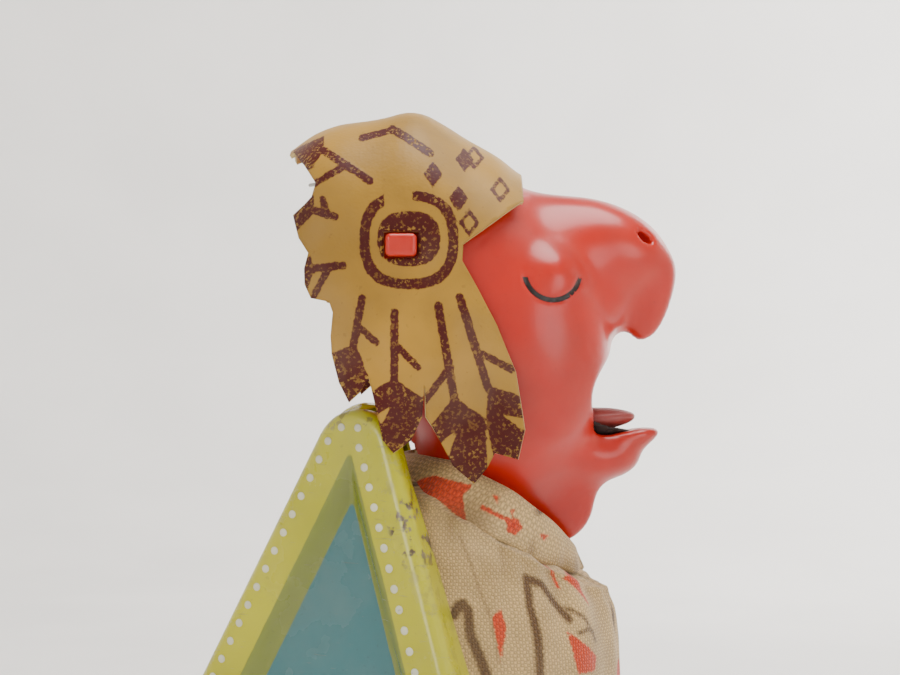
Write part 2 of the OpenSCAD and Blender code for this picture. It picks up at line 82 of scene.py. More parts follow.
def factor(name, about, value):
    return FloatProperty(name=name, description=about, default=value, min=0, max=1, subtype="FACTOR")


# ---- Settings ----


class HeadSettings(bpy.types.PropertyGroup):
    skin: colour("Head", "Colour of the moulded head", (196, 26, 4))
    mouth: colour("Mouth", "Colour inside the beak", (44, 26, 22))
    tongue: colour("Tongue", "Colour of the tongue", (158, 56, 50))
    step: length("Detail", "Size of the head's mesh cells", 0.75, 0.5, 2)


class HoodSettings(bpy.types.PropertyGroup):
    vinyl: colour("Vinyl", "Ground colour of the hood", (170, 128, 46))
    print: colour("Print", "Colour of the printed strokes", (66, 6, 1))
    edge: colour("Cut edge", "Colour of the cut edge", (210, 182, 120))
    thickness: length("Thickness", "Thickness of the vinyl", 0.8, 0.4, 1.2)
    wear: factor("Wear", "How far the print is worn off", 0.45)
    step: length("Detail", "Size of the hood's mesh cells", 0.55, 0.4, 2)


class ClothSettings(bpy.types.PropertyGroup):
    cotton: colour("Cotton", "Ground colour of the cloth", (212, 178, 122))
    orange: colour("Orange print", "Colour of the orange print", (206, 50, 14))
    brown: colour("Brown print", "Colour of the brown print", (70, 40, 22))
    thickness: length("Thickness", "Thickness of the cloth", 0.6, 0.3, 1)
    thread: length("Thread pitch", "Distance between neighbouring threads", 0.6, 0.3, 1.2)
    stitch: length("Stitch", "Length of a stitch", 2.2, 1, 4)


class WingSettings(bpy.types.PropertyGroup):
    yellow: colour("Border", "Colour of a wing's border", (186, 182, 8))
    olive: colour("Slope", "Colour of the slope inside the border", (112, 122, 30))
    teal: colour("Panel", "Colour of the middle panel", (54, 108, 112))
    dots: colour("Dots", "Colour of the dots", (220, 218, 190))
    dot_gap: length("Dot spacing", "Distance between the dots", 4, 2.5, 8)
    dot_size: length("Dot size", "Width of a dot", 1.6, 0.8, 2.5)
    chips: factor("Chips", "How much paint has chipped off the edges", 0.5)


class MetalSettings(bpy.types.PropertyGroup):
    steel: colour("Steel", "Colour of the plated steel", (178, 178, 172))
    dark: colour("Dark steel", "Colour of the blued steel", (96, 98, 104))
    brass: colour("Brass", "Colour of the wheels", (200, 158, 84))
    nickel: colour("Key", "Colour of the key", (196, 190, 178))
    legs: colour("Legs", "Colour of the legs and feet", (222, 120, 24))
    tin: colour("Body", "Colour of the body's printed tin", (196, 176, 60))
    feather: colour("Feathers", "Colour of the body's printed feather edges", (150, 84, 26))


class StageSettings(bpy.types.PropertyGroup):
    floor: colour("Floor", "Colour of the floor and backdrop", (236, 233, 229))
    radius: FloatProperty(name="Radius", description="Radius of the flat floor", default=0.95, min=0.6,
                          max=3, unit="LENGTH")
    light: FloatProperty(name="Light", description="Strength of the large overhead light", default=1,
                         min=0,
                         max=10)
    sides: IntProperty(name="Sides", description="Sides of the round backdrop", default=96, min=24,
                       max=256)


# ---- Meshes ----


def place(points):
    """Frame coordinates, in metres, of points in millimetres from the body's axis."""
    return (np.asarray(points, float) + AXIS) / 1000


def piece(name, points, faces, materials, body, nodes=(), smooth=True):
    """A mesh that rides on a body. materials is one material or several."""
    name = name.replace(" ", "_")
    mesh = bpy.data.meshes.new(name)
    mesh.from_pydata(place(points).tolist(), [], [tuple(int(i) for i in f) for f in faces])
    mesh.polygons.foreach_set("use_smooth", [smooth] * len(mesh.polygons))
    for m in materials if isinstance(materials, (list, tuple)) else [materials]:
        mesh.materials.append(m)
    obj = bpy.data.objects.new(name, mesh)
    bpy.context.scene.collection.objects.link(obj)
    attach(obj, body)
    if nodes:
        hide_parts(*nodes)
    return obj


def attribute(obj, name, values):
    """Gives each vertex a number that the materials can read."""
    obj.data.attributes.new(name, "FLOAT", "POINT").data.foreach_set("value",
            np.asarray(values, np.float32))


def texture_place(obj, points):
    """Gives each vertex flat texture coordinates, in millimetres."""
    p = np.asarray(points, np.float32)
    data = obj.data.attributes.new("flat_mm", "FLOAT_VECTOR", "POINT").data
    data.foreach_set("vector", np.column_stack([p, np.zeros(len(p))]).astype(np.float32).ravel())


def thicken(obj, thickness, rim=0, offset=-1.0):
    """Live thickness. rim is how far down the list the rim's material stands."""
    m = obj.modifiers.new("Thickness", "SOLIDIFY")
    m.thickness, m.offset, m.material_offset_rim, m.use_even_offset = thickness, offset, rim, True
    return obj


def mirrored(points, faces):
    """The same mesh on the other side, its faces turned so that they still point out."""
    return np.asarray(points) * (1, -1, 1), [tuple(f)[::-1] for f in faces]


def grid_faces(rows, columns, closed=False):
    """Quads of a grid whose vertices run along the columns of each row in turn."""
    faces = []
    for r in range(rows - 1):
        for c in range(columns if closed else columns - 1):
            d = (c + 1) % columns
            faces.append((r * columns + c, r * columns + d, (r + 1) * columns + d,
                          (r + 1) * columns + c))
    return faces


def noise(p, size, seed=0):
    """Smooth numpy noise from -1 to 1, with features about size across."""
    p = np.asarray(p, float) / size
    total = np.zeros(len(p))
    for i in range(6):
        a = np.array([math.sin(12.9 * (i + 1) + seed), math.sin(78.2 * (i + 1) + 2 * seed),
                      math.sin(37.7 * (i + 1) + 3 * seed)]) * 1.9
        b = np.roll(a, 1) * (1.3, -1.1, 0.9)
        total += np.sin(p @ a + 1.7 * i + seed + 1.3 * np.sin(p @ b + 2.1 * i))
    return total / 6


# ---- Distance fields ----


def ellipsoid(p, centre, radii, tilt=0):
    """Rough distance to an ellipsoid, its nose turned down by tilt degrees."""
    q = p - np.array(centre, float)
    if tilt:
        a = math.radians(tilt)
        q = np.column_stack([q[:, 0] * math.cos(a) - q[:, 2] * math.sin(a), q[:, 1],
                             q[:, 0] * math.sin(a) + q[:, 2] * math.cos(a)])
    r = np.array(radii, float)
    k0 = np.linalg.norm(q / r, axis=1)
    return k0 * (k0 - 1) / np.maximum(np.linalg.norm(q / r**2, axis=1), 1e-6)


def capsule(p, a, b, ra, rb):
    """Distance to a rod from a to b whose radius runs from ra to rb."""
    a, b = np.array(a, float), np.array(b, float)
    t = np.clip((p - a) @ (b - a) / np.dot(b - a, b - a), 0, 1)
    return np.linalg.norm(p - a - t[:, None] * (b - a), axis=1) - ra - (rb - ra) * t


def join(a, b, k):
    """Smooth union of two fields."""
    h = np.clip(0.5 + 0.5 * (b - a) / k, 0, 1)
    return b + (a - b) * h - k * h * (1 - h)


def carve(a, b, k):
    """Smooth cut of field b out of field a."""
    return -join(-a, b, k)


def stroke(q, points, width):
    """Distance to a flat bent stroke."""
    best = np.full(len(q), 1e9)
    for a, b in zip(points[:-1], points[1:]):
        a, b = np.array(a, float), np.array(b, float)
        t = np.clip((q - a) @ (b - a) / max(np.dot(b - a, b - a), 1e-9), 0, 1)
        best = np.minimum(best, np.linalg.norm(q - a - t[:, None] * (b - a), axis=1))
    return best - width / 2


def area(q, points):
    """Distance to a flat filled outline, negative inside."""
    p = np.array(points, float)
    inside = np.zeros(len(q), bool)
    for a, b in zip(p, np.roll(p, -1, 0)):
        if a[1] != b[1]:
            crossed = (a[1] > q[:, 1]) != (b[1] > q[:, 1])
            inside ^= crossed & (q[:, 0] < (b[0] - a[0]) * (q[:, 1] - a[1]) / (b[1] - a[1]) + a[0])
    edge = stroke(q, list(points) + [points[0]], 0)
    return np.where(inside, -edge, edge)


def net(field, low, high, step):
    """Closed mesh of the surface where a field is zero: one vertex in each cell that it crosses."""
    low = np.array(low, float)
    n = np.ceil((np.array(high) - low) / step).astype(int) + 1
    axes = [low[i] + step * np.arange(n[i]) for i in range(3)]
    f = field(np.stack(np.meshgrid(*axes, indexing="ij"), -1).reshape(-1, 3)).reshape(n)
    inside = f < 0
    corner = [(i, j, k) for i in (0, 1) for j in (0, 1) for k in (0, 1)]
    count = sum(inside[i:n[0] - 1 + i, j:n[1] - 1 + j, k:n[2] - 1 + k].astype(int) for i, j, k in corner)
    cells = np.argwhere((count > 0) & (count < 8))
    index = np.full(n - 1, -1)
    index[tuple(cells.T)] = np.arange(len(cells))
    total, hits = np.zeros((len(cells), 3)), np.zeros(len(cells))
    for a in range(3):
        for c in corner:
            if c[a]:
                continue
            p0 = cells + c
            p1 = p0 + np.eye(3, dtype=int)[a]
            f0, f1 = f[tuple(p0.T)], f[tuple(p1.T)]
            hit = (f0 < 0) != (f1 < 0)
            t = np.where(hit, f0 / np.where(hit, f0 - f1, 1), 0)
            total += hit[:, None] * (p0 + t[:, None] * (p1 - p0))
            hits += hit
    points = low + step * total / hits[:, None]
    quads = []
    for a in range(3):
        b, c = (a + 1) % 3, (a + 2) % 3
        near = [slice(None)] * 3
        far = [slice(None)] * 3
        near[a], far[a] = slice(0, -1), slice(1, None)
        g0, g1 = inside[tuple(near)], inside[tuple(far)]
        at = np.argwhere(g0 != g1)
        at = at[(at[:, b] > 0) & (at[:, b] < n[b] - 1) & (at[:, c] > 0) & (at[:, c] < n[c] - 1)]
        eb, ec = np.eye(3, dtype=int)[b], np.eye(3, dtype=int)[c]
        quad = np.column_stack([index[tuple((at - o).T)] for o in (eb + ec, ec, 0 * eb, eb)])
        out = g0[tuple(at.T)]
        quads.append(np.where(out[:, None], quad, quad[:, ::-1]))
    h = step * 0.1
    for _ in range(2):
        value = field(points)
        slope = np.column_stack([field(points + h * e) - field(points - h * e) for e in np.eye(3)]) / (2 * h)
        move = value[:, None] * slope / np.maximum((slope**2).sum(1), 0.2)[:, None]
        points = points - np.clip(move, -step / 2, step / 2)
    return points, np.concatenate(quads)


# ---- Materials ----


def put(tree, kind, sockets=None, **facts):
    """Adds a node. sockets gives each input a value or another node's output."""
    node = tree.nodes.new(kind)
    for key, value in facts.items():
        setattr(node, key, value)
    for key, value in (sockets or {}).items():
        if isinstance(value, bpy.types.NodeSocket):
            tree.links.new(value, node.inputs[key])
        elif isinstance(value, tuple) and len(value) == 3 and node.inputs[key].type == "RGBA":
            node.inputs[key].default_value = (*value, 1)
        else:
            node.inputs[key].default_value = value
    return node


def maths(tree, operation, *values, clamp=False):
    return put(tree, "ShaderNodeMath", dict(enumerate(values)), operation=operation,
               use_clamp=clamp).outputs[0]


def mixed(tree, share, a, b, how="MIX"):
    """Colour a turning into colour b."""
    node = put(tree, "ShaderNodeMix", data_type="RGBA", blend_type=how)
    for i, value in ((0, share), (6, a), (7, b)):
        if isinstance(value, bpy.types.NodeSocket):
            tree.links.new(value, node.inputs[i])
        else:
            node.inputs[i].default_value = (*value, 1) if isinstance(value, tuple) else value
    return node.outputs[2]


def read(tree, name):
    """A vertex number by its name."""
    return put(tree, "ShaderNodeAttribute", attribute_name=name).outputs["Fac"]


def ramp(tree, value, low, high, smooth=True):
    """0 up to 1 as value goes from low to high."""
    kind = "SMOOTHSTEP" if smooth else "LINEAR"
    return put(tree, "ShaderNodeMapRange", {0: value, 1: low, 2: high},
               interpolation_type=kind).outputs[0]


def group(name, inputs, outputs):
    """An empty shader group with its sockets, and its input and output nodes."""
    tree = bpy.data.node_groups.new(name, "ShaderNodeTree")
    for label, kind, value in inputs:
        socket = tree.interface.new_socket(label, in_out="INPUT", socket_type=kind)
        if value is not None:
            socket.default_value = value
    for label, kind in outputs:
        tree.interface.new_socket(label, in_out="OUTPUT", socket_type=kind)
    return tree, tree.nodes.new("NodeGroupInput").outputs, tree.nodes.new("NodeGroupOutput").inputs


FLOAT, VECTOR, COLOUR = "NodeSocketFloat", "NodeSocketVector", "NodeSocketColor"


def patches_group():
    """Soft-edged random patches that cover about Amount of a surface."""
    if "Patches" in bpy.data.node_groups:
        return bpy.data.node_groups["Patches"]
    tree, i, o = group("Patches", [("Vector", VECTOR, None), ("Scale", FLOAT, 200),
                                   ("Amount", FLOAT, 0.5),
                                   ("Softness", FLOAT, 0.1)], [("Mask", FLOAT)])
    n = put(tree, "ShaderNodeTexNoise", {"Vector": i["Vector"], "Scale": i["Scale"], "Detail": 6,
                                         "Roughness": 0.6}).outputs[0]
    edge = maths(tree, "SUBTRACT", 0.72, maths(tree, "MULTIPLY", i["Amount"], 0.44))
    mask = maths(tree, "DIVIDE", maths(tree, "SUBTRACT", n, edge), i["Softness"], clamp=True)
    tree.links.new(mask, o["Mask"])
    return tree


def weave_group():
    """Plain weave: Height for bumps and Shade for the light and dark of the threads, which is painted shade in
    the low gaps between threads with random fibre tone mixed in.
    """
    if "Weave" in bpy.data.node_groups:
        return bpy.data.node_groups["Weave"]
    tree, i, o = group("Weave", [("Vector", VECTOR, None), ("Pitch", FLOAT, 0.6)],
                       [("Height", FLOAT), ("Shade", FLOAT)])
    wobble = put(tree, "ShaderNodeTexNoise", {"Vector": i["Vector"], "Scale": 0.35,
                                              "Detail": 3}).outputs["Color"]
    bent = put(tree, "ShaderNodeVectorMath", {0: i["Vector"], 1: wobble}, operation="ADD").outputs[0]
    xyz = put(tree, "ShaderNodeSeparateXYZ", {0: bent}).outputs
    turn = maths(tree, "DIVIDE", math.pi, i["Pitch"])
    a, b = (maths(tree, "SINE", maths(tree, "MULTIPLY", xyz[k], turn)) for k in (0, 1))
    ridge = [maths(tree, "SUBTRACT", 1, maths(tree, "POWER", maths(tree, "ABSOLUTE", s),
                                              2)) for s in (a, b)]
    over = maths(tree, "MULTIPLY", maths(tree, "SIGN", maths(tree, "MULTIPLY", a, b)), 0.25)
    height = maths(tree, "ADD", maths(tree, "MULTIPLY", maths(tree, "SUBTRACT", 1, ridge[0]),
                                      maths(tree, "SUBTRACT", 1, ridge[1])), over)
    fuzz = put(tree, "ShaderNodeTexNoise", {"Vector": i["Vector"], "Scale": 2.5, "Detail": 4}).outputs[0]
    # Shade is painted shade: low where the weave is low, high on the raised threads, plus random fibre tone
    shade = maths(tree, "ADD", maths(tree, "MULTIPLY", height, 0.6), maths(tree, "MULTIPLY", fuzz, 0.8))
    tree.links.new(height, o["Height"])
    tree.links.new(shade, o["Shade"])
    return tree


def grime_group():
    """A colour dulled by dust and specks, with the roughness that goes with them."""
    if "Grime" in bpy.data.node_groups:
        return bpy.data.node_groups["Grime"]
    tree, i, o = group("Grime", [("Colour", COLOUR, None), ("Strength", FLOAT, 0.3),
                                 ("Roughness", FLOAT, 0.3)],
                       [("Colour", COLOUR), ("Roughness", FLOAT), ("Height", FLOAT)])
    at = put(tree, "ShaderNodeTexCoord").outputs["Object"]
    cloud = put(tree, "ShaderNodeTexNoise", {"Vector": at, "Scale": 60, "Detail": 5}).outputs[0]
    fine = put(tree, "ShaderNodeTexNoise", {"Vector": at, "Scale": 900, "Detail": 3}).outputs[0]
    share = maths(tree, "MULTIPLY", maths(tree, "MULTIPLY", ramp(tree, cloud, 0.42, 0.7),
                                          i["Strength"]), 0.35)
    speck = maths(tree, "MULTIPLY", ramp(tree, fine, 0.66, 0.72),
                  maths(tree, "MULTIPLY", i["Strength"], 0.6))
    dusty = mixed(tree, share, i["Colour"], rgb(150, 138, 120))
    tree.links.new(mixed(tree, speck, dusty, rgb(52, 42, 34)), o["Colour"])
    rough = maths(tree, "ADD", i["Roughness"], maths(tree, "MULTIPLY", share, 0.6), clamp=True)
    tree.links.new(rough, o["Roughness"])
    tree.links.new(maths(tree, "MULTIPLY", fine, 0.5), o["Height"])
    return tree


def use(tree, made, sockets):
    node = put(tree, "ShaderNodeGroup", node_tree=made)
    for key, value in sockets.items():
        if isinstance(value, bpy.types.NodeSocket):
            tree.links.new(value, node.inputs[key])
        else:
            node.inputs[key].default_value = (*value, 1) if isinstance(value, tuple) else value
    return node.outputs


def surface(name, finish=None):
    """A new material, its node tree and its Principled shader with plain sockets set from finish."""
    material = bpy.data.materials.new(name)
    material.use_nodes = True
    tree = material.node_tree
    shader = tree.nodes["Principled BSDF"]
    for key, value in (finish or {}).items():
        shader.inputs[key].default_value = value
    return material, tree, shader


def bump(tree, shader, height, depth, strength=1.0):
    node = put(tree, "ShaderNodeBump", {"Height": height, "Distance": depth / 1000,
                                        "Strength": strength})
    tree.links.new(node.outputs[0], shader.inputs["Normal"])


def object_place(tree):
    return put(tree, "ShaderNodeTexCoord").outputs["Object"]


def plain(name, tint, roughness, metallic=0.0, grime=0.3, brush=None, coat=0.0, ior=1.5):
    """A finish with dust, specks and fine unevenness. brush stretches its fine lines along an axis."""
    material, tree, shader = surface(name, {"Metallic": metallic, "Coat Weight": coat, "IOR": ior,
                                            "Coat Roughness": 0.12})
    at = object_place(tree)
    lines = put(tree, "ShaderNodeMapping", {"Vector": at, "Scale": brush or (1, 1, 1)}).outputs[0]
    fine = put(tree, "ShaderNodeTexNoise", {"Vector": lines, "Scale": 700, "Detail": 4}).outputs[0]
    cloud = put(tree, "ShaderNodeTexNoise", {"Vector": at, "Scale": 35, "Detail": 3}).outputs[0]
    shaded = mixed(tree, ramp(tree, cloud, 0.3, 0.7), tint, tuple(c * 0.78 for c in tint))
    out = use(tree, grime_group(), {"Colour": shaded, "Strength": grime, "Roughness": roughness})
    tree.links.new(out["Colour"], shader.inputs["Base Color"])
    rough = maths(tree, "ADD", out["Roughness"],
                  maths(tree, "MULTIPLY", maths(tree, "SUBTRACT", fine, 0.5), 0.25),
                  clamp=True)
    tree.links.new(rough, shader.inputs["Roughness"])
    bump(tree, shader, fine, 0.02 if metallic else 0.012)
    return material


# ---- Head ----

CROWN = [((-5.5, 0, 186), (20.5, 23.4, 22.5), 0), ((8, 0, 175), (22, 23.2, 22), 0)]
LUMPS = [  # centre, radii, tilt and how softly each joins the rest
    ((8, 8, 162), (20, 15, 19), 0, 8), ((25, 0, 187.4), (17, 11.6, 10.4), 12, 6),
    ((22, 0, 178), (12, 9.4, 7), 10, 5), ((38.4, 0, 177), (3.4, 3.2, 8), 18, 5),
    ((17, 0, 147), (18.5, 10, 6.4), 4, 6), ((33, 0, 150), (7, 4.6, 3), -16, 4),
    ((19, 0, 137.4), (8.5, 5.8, 9), 8, 5), ((5, 0, 146), (15, 15, 14), 0, 6),
    ((16.8, 13.2, 181), (6.4, 7.9, 6.2), 0, 3)]
MOUTH = ((26, 0, 157.5), (14.5, 8.4, 8), -6)
GAPE = ((45, 0, 161.5), (24, 24, 9), -8)
EYE = (17.5, 181)
WALL = 1.5


def mouth_field(p):
    return ellipsoid(p, *MOUTH)


def head_mass(p):
    """The head filled in, with its open beak and its closed eyelids."""
    q = np.column_stack([p[:, 0], np.abs(p[:, 1]), p[:, 2]])
    f = join(ellipsoid(q, *CROWN[0]), ellipsoid(q, *CROWN[1]), 8)
    for centre, radii, tilt, soft in LUMPS:
        f = join(f, ellipsoid(q, centre, radii, tilt), soft)
    f = carve(f, ellipsoid(q, *GAPE), 1.6)
    f = carve(f, mouth_field(q), 1.4)
    # cleft between the wattles, nostrils and the lid line
    f = carve(f, ellipsoid(q, (25, 0, 133), (9, 1.5, 8)), 2)
    f = carve(f, ellipsoid(q, (35.2, 6.2, 189.6), (2.6, 1.6, 1.1), 20), 1)
    ring = np.hypot(q[:, 0] - EYE[0], q[:, 2] - EYE[1] - 1.5)
    low = (q[:, 2] < EYE[1] + 0.4) & (q[:, 1] > 8)
    lid = np.where(low, np.abs(ring - 5.4), 5) - 0.42
    return np.maximum(f, -np.maximum(lid, -(f + 0.55)))


def head_shell(p):
    """The moulded shell of one half of the head."""
    f = head_mass(p)
    f = np.maximum(f, -(f + WALL))
    neck = np.maximum(np.hypot(p[:, 0] - 2, p[:, 1]) - 12.6, p[:, 2] - 149)
    return np.maximum(carve(f, neck, 0.8), 0.03 - p[:, 1])


def skin_material(s):
    """Glossy moulded plastic with a painted lid line."""
    material, tree, shader = surface("Moulded head",
                                     {"IOR": 1.46, "Coat Weight": 0.2, "Coat Roughness": 0.12,
                                                      "Subsurface Weight": 0.05,
                                                      "Subsurface Scale": 0.002})
    at = object_place(tree)
    cloud = put(tree, "ShaderNodeTexNoise", {"Vector": at, "Scale": 45, "Detail": 4}).outputs[0]
    tint = mixed(tree, ramp(tree, cloud, 0.3, 0.75), tuple(s.skin), tuple(c * 0.72 for c in s.skin))
    dust = use(tree, grime_group(), {"Colour": tint, "Strength": 0.15, "Roughness": 0.3})
    line = ramp(tree, read(tree, "lid"), 0.12, 0.3)
    tree.links.new(mixed(tree, line, rgb(24, 14, 12), dust["Colour"]), shader.inputs["Base Color"])
    tree.links.new(dust["Roughness"], shader.inputs["Roughness"])
    wave = put(tree, "ShaderNodeTexNoise", {"Vector": at, "Scale": 160, "Detail": 3}).outputs[0]
    bump(tree, shader, wave, 0.12, 0.5)
    return material


def make_head(s):
    """Both halves of the head, open at the neck."""
    step = s.step * 1000
    points, faces = net(head_shell, (-35, -1.5 * step, 127), (44, 26, 212), step)
    material = skin_material(s)
    ring = np.abs(np.hypot(points[:, 0] - EYE[0], points[:, 2] - EYE[1] - 1.5) - 5.4)
    lid = np.where((points[:, 2] < EYE[1] + 0.4) & (points[:, 1] > 8) & (points[:, 0] > 8), ring - 0.3,
                   1)
    for side, node in ((1, "head_shell_left"), (-1, "head_shell_right")):
        p, f = (points, faces) if side > 0 else mirrored(points, faces)
        obj = piece("Head half " + ("left" if side > 0 else "right"), p, f, material, "head",
                    [node])
        attribute(obj, "lid", lid)


def make_mouth(s):
    """The dark lining of the mouth and the tongue in it."""
    def lining(p):
        m = mouth_field(p)
        return np.maximum(np.maximum(m + 0.08, -(m + 0.7)), 0.6 - ellipsoid(p, *GAPE))

    points, faces = net(lining, (10, -10, 147), (42, 10, 168), 0.5)
    dark = plain("Mouth lining", tuple(s.mouth), 0.75, grime=0.2)
    piece("Mouth lining", points, faces, dark, "head", ["mouth_liner"])

    def tongue(p):
        q = np.column_stack([p[:, 0], np.abs(p[:, 1]), p[:, 2]])
        f = join(ellipsoid(q, (25, 0, 153.6), (10, 5.0, 2.4), -4),
                 ellipsoid(q, (18, 0, 154.2), (4, 5, 4)), 2)
        f = carve(f, ellipsoid(q, (28, 0, 156.6), (9, 0.7, 1.6), -4), 1)
        return np.where(p[:, 0] < 30, np.maximum(f, mouth_field(p) + 0.9), f)
    points, faces = net(tongue, (12, -7, 146), (38, 7, 162), 0.45)
    flesh = plain("Tongue", tuple(s.tongue), 0.5, grime=0.2, coat=0.2)
    piece("Tongue", points, faces, flesh, "head", ["tongue"])


# ---- Hood ----

ARCH = 25.7
RIDGE = ([-36, -31.7, -25.7, -15, -9, -1.4, 3.3, 6.5, 9.1, 13],
         [205, 209, 212.2, 213.5, 215.6, 211.4, 208, 207, 205, 201])
HOOD_SIDE = [(11.8, 196), (6, 191.6), (0.5, 187.5), (0.3, 184.4), (3.0, 179.6), (6.8, 172.3),
             (10.3, 163.5),
             (12.0, 152.8), (10.7, 147.2), (6.4, 148.4), (4.9, 145.5), (2.5, 142.7), (-1.4, 146.0),
             (-5.3, 153.3),
             (-6.5, 155.2), (-6.7, 161.3), (-7.2, 155.2), (-9.2, 150.8), (-12.6, 148.4), (-14.6, 150.8),
             (-16.2, 158.2), (-17.2, 162.5), (-18.9, 159.6), (-20.9, 157.9), (-22.8, 161.6),
             (-24.2, 166.9),
             (-24.4, 170.3), (-24.0, 174.7), (-24.7, 176.7), (-28.2, 177.4), (-29.4, 180.0),
             (-29.5, 183.0),
             (-28.7, 185.9), (-30.6, 188.8), (-31.8, 193.2), (-29.6, 195.1), (-28.2, 196.6),
             (-27.5, 199.3),
             (-30, 203.1), (-32.6, 206.3)]
SLOT = (-14.4, -7.9, 184.8, 189.8)
STROKES = [  # printed lines, each a list of points and a width
    ([(-18.45, 177.3), (-20.2, 168.1)], 1.5), ([(-19.0, 172.0), (-15.8, 169.1)], 1.3),
    ([(-12.4, 174.7), (-12.4, 161.8)], 1.5), ([(-12.1, 168.6), (-8.0, 164.4)], 1.3),
    ([(-4.2, 176.0), (-1.2, 158.6)], 1.6), ([(-1.9, 164.5), (-6.8, 158.1)], 1.4),
    ([(-0.2, 177.6), (5.1, 160.6)], 1.6), ([(4.2, 166.9), (9.5, 164.0)], 1.4),
    ([(-17.2, 199.6), (-26.5, 206.1)], 1.6), ([(-22.6, 202.2), (-27.5, 199.3)], 1.4),
    ([(-23.6, 192.7), (-28.2, 194.1)], 1.5), ([(-25.0, 192.9), (-26.0, 196.1)], 1.3),
    ([(-22.0, 183.5), (-27.7, 183.0)], 1.5), ([(-25.0, 182.7), (-27.7, 177.6)], 1.3),
    ([(-18.9, 208.5), (-14.1, 209.8)], 1.6), ([(-13.3, 210.4), (-5.8, 205.1)], 1.7)]
TIPS = [
    [(-20.2, 168.6), (-25, 166.7), (-23.3, 160.6), (-20.9, 157.0), (-17.2, 162.3), (-19.0, 167.4)],
    [(-12.4, 162.4), (-16.9, 159.9), (-15.2, 150), (-12.6, 147.4), (-8.9, 150.3), (-6.4, 155.7),
     (-7.0, 158.6),
     (-11.6, 161.8)],
    [(-1.2, 159), (-5.5, 153.7), (-5, 150), (-1.6, 145), (2.5, 141.8), (5.1, 143.6), (4.6, 154.9)],
    [(5.1, 161), (11.2, 159.1), (12.8, 152.3), (11, 146.2), (6.2, 147.6), (4.7, 154.5)],
    [(-26.2, 206.1), (-26.6, 209.3), (-33, 207), (-31, 201.5), (-28.2, 202.4)],
    [(-27.7, 196.9), (-31.4, 196.4), (-33, 192), (-31.6, 189.5), (-27.5, 193.4)],
    [(-28.2, 185.5), (-30.4, 184), (-30.4, 180), (-28.9, 178.3), (-27.5, 183.0)]]
NOTCHES = [[(-12.9, 157.3), (-15.7, 155.4), (-14.9, 153.4)],
           [(-0.6, 152.9), (-4.3, 149.9), (-2.2, 147.8)],
           [(7.6, 155.6), (12.4, 154.8), (12.0, 152.4)]]
LOZENGES = [(-5.2, 200.9, 0), (0.8, 204.2, 0), (-0.4, 196.2, 0), (2.7, 204.9, 1), (7.6, 198.3, 1),
            (1.6, 191.6, 1)]


def hood_print(q):
    """Distance to the printed parts in the side view, negative where there is print."""
    best = np.full(len(q), 9.0)
    for points, width in STROKES:
        best = np.minimum(best, stroke(q, points, width))
    for tip in TIPS:
        best = np.minimum(best, area(q, tip))
    for notch in NOTCHES:
        best = np.maximum(best, -area(q, notch))
    # the squarish ring round the tab, open at its top, and the blob in it
    d = np.abs(q - (-9.7, 188.3))
    ring = np.abs((d[:, 0] ** 2.6 + d[:, 1] ** 2.6) ** (1 / 2.6) - 8.3) - 0.95
    ring = np.maximum(ring, -area(q, [(-14.2, 194.2), (-8.8, 194.8), (-9.4, 199), (-14.6, 198.6)]))
    blob = (np.abs((q[:, 0] + 9.7) / 5.9) ** 2.4 + np.abs((q[:,
            1] - 188.5) / 5.2) ** 2.4) ** (1 / 2.4) - 1
    best = np.minimum(best, np.minimum(ring, blob * 5.2))
    for x, z, open_ in LOZENGES:
        k = np.abs(q[:, 0] - x) / 2.2 + np.abs(q[:, 1] - z) / 3.1
        best = np.minimum(best, (np.abs(k - 0.72) - 0.2 if open_ else k - 0.85) * 1.8)
    return best


def ridge_at(x):
    """Height of the hood's top at x, eased over a few millimetres."""
    return sum(np.interp(np.asarray(x, float) + d, *RIDGE) for d in (-3, -1.5, 0, 1.5, 3)) / 5


def arch_at(x):
    return ARCH - 0.0045 * np.maximum(0, -np.asarray(x, float) - 12) ** 2


def arc_length(x, z):
    """Length along the vinyl from the ridge down to height z."""
    w = arch_at(x)
    drop = ridge_at(x) - z
    top = w * np.arccos(np.clip(1 - drop / w, -1, 1))
    return np.where(drop <= w, top, w * math.pi / 2 + drop - w)


def hood_shape(x, s):
    """Where the flat pattern's points lie once the hood is bent over the head."""
    w, top = arch_at(x), ridge_at(x)
    a = np.clip(s / w, 0, math.pi / 2)
    below = np.maximum(0, s - w * math.pi / 2)
    z = top - w * (1 - np.cos(a)) - below
    flare = 0.35 * np.sin(x * 0.55 + 0.6) * np.clip(below / 22, 0, 1) + 0.9 * np.clip(below / 34, 0,
            1) ** 2
    back = np.clip((-24 - x) / 9, 0, 1)
    y = w * np.sin(a) + flare - 2.4 * back**2 * np.clip(s / 20, 0, 1)
    lumps = 0.22 * noise(np.column_stack([x, s, 0 * x]), 9, 2)
    return np.column_stack([x, y + lumps * np.clip(s / 8, 0, 1),
                            z + lumps * np.cos(a) * np.clip(s / 8, 0, 1)])


def inside(q, outline):
    return area(q, outline) < 0


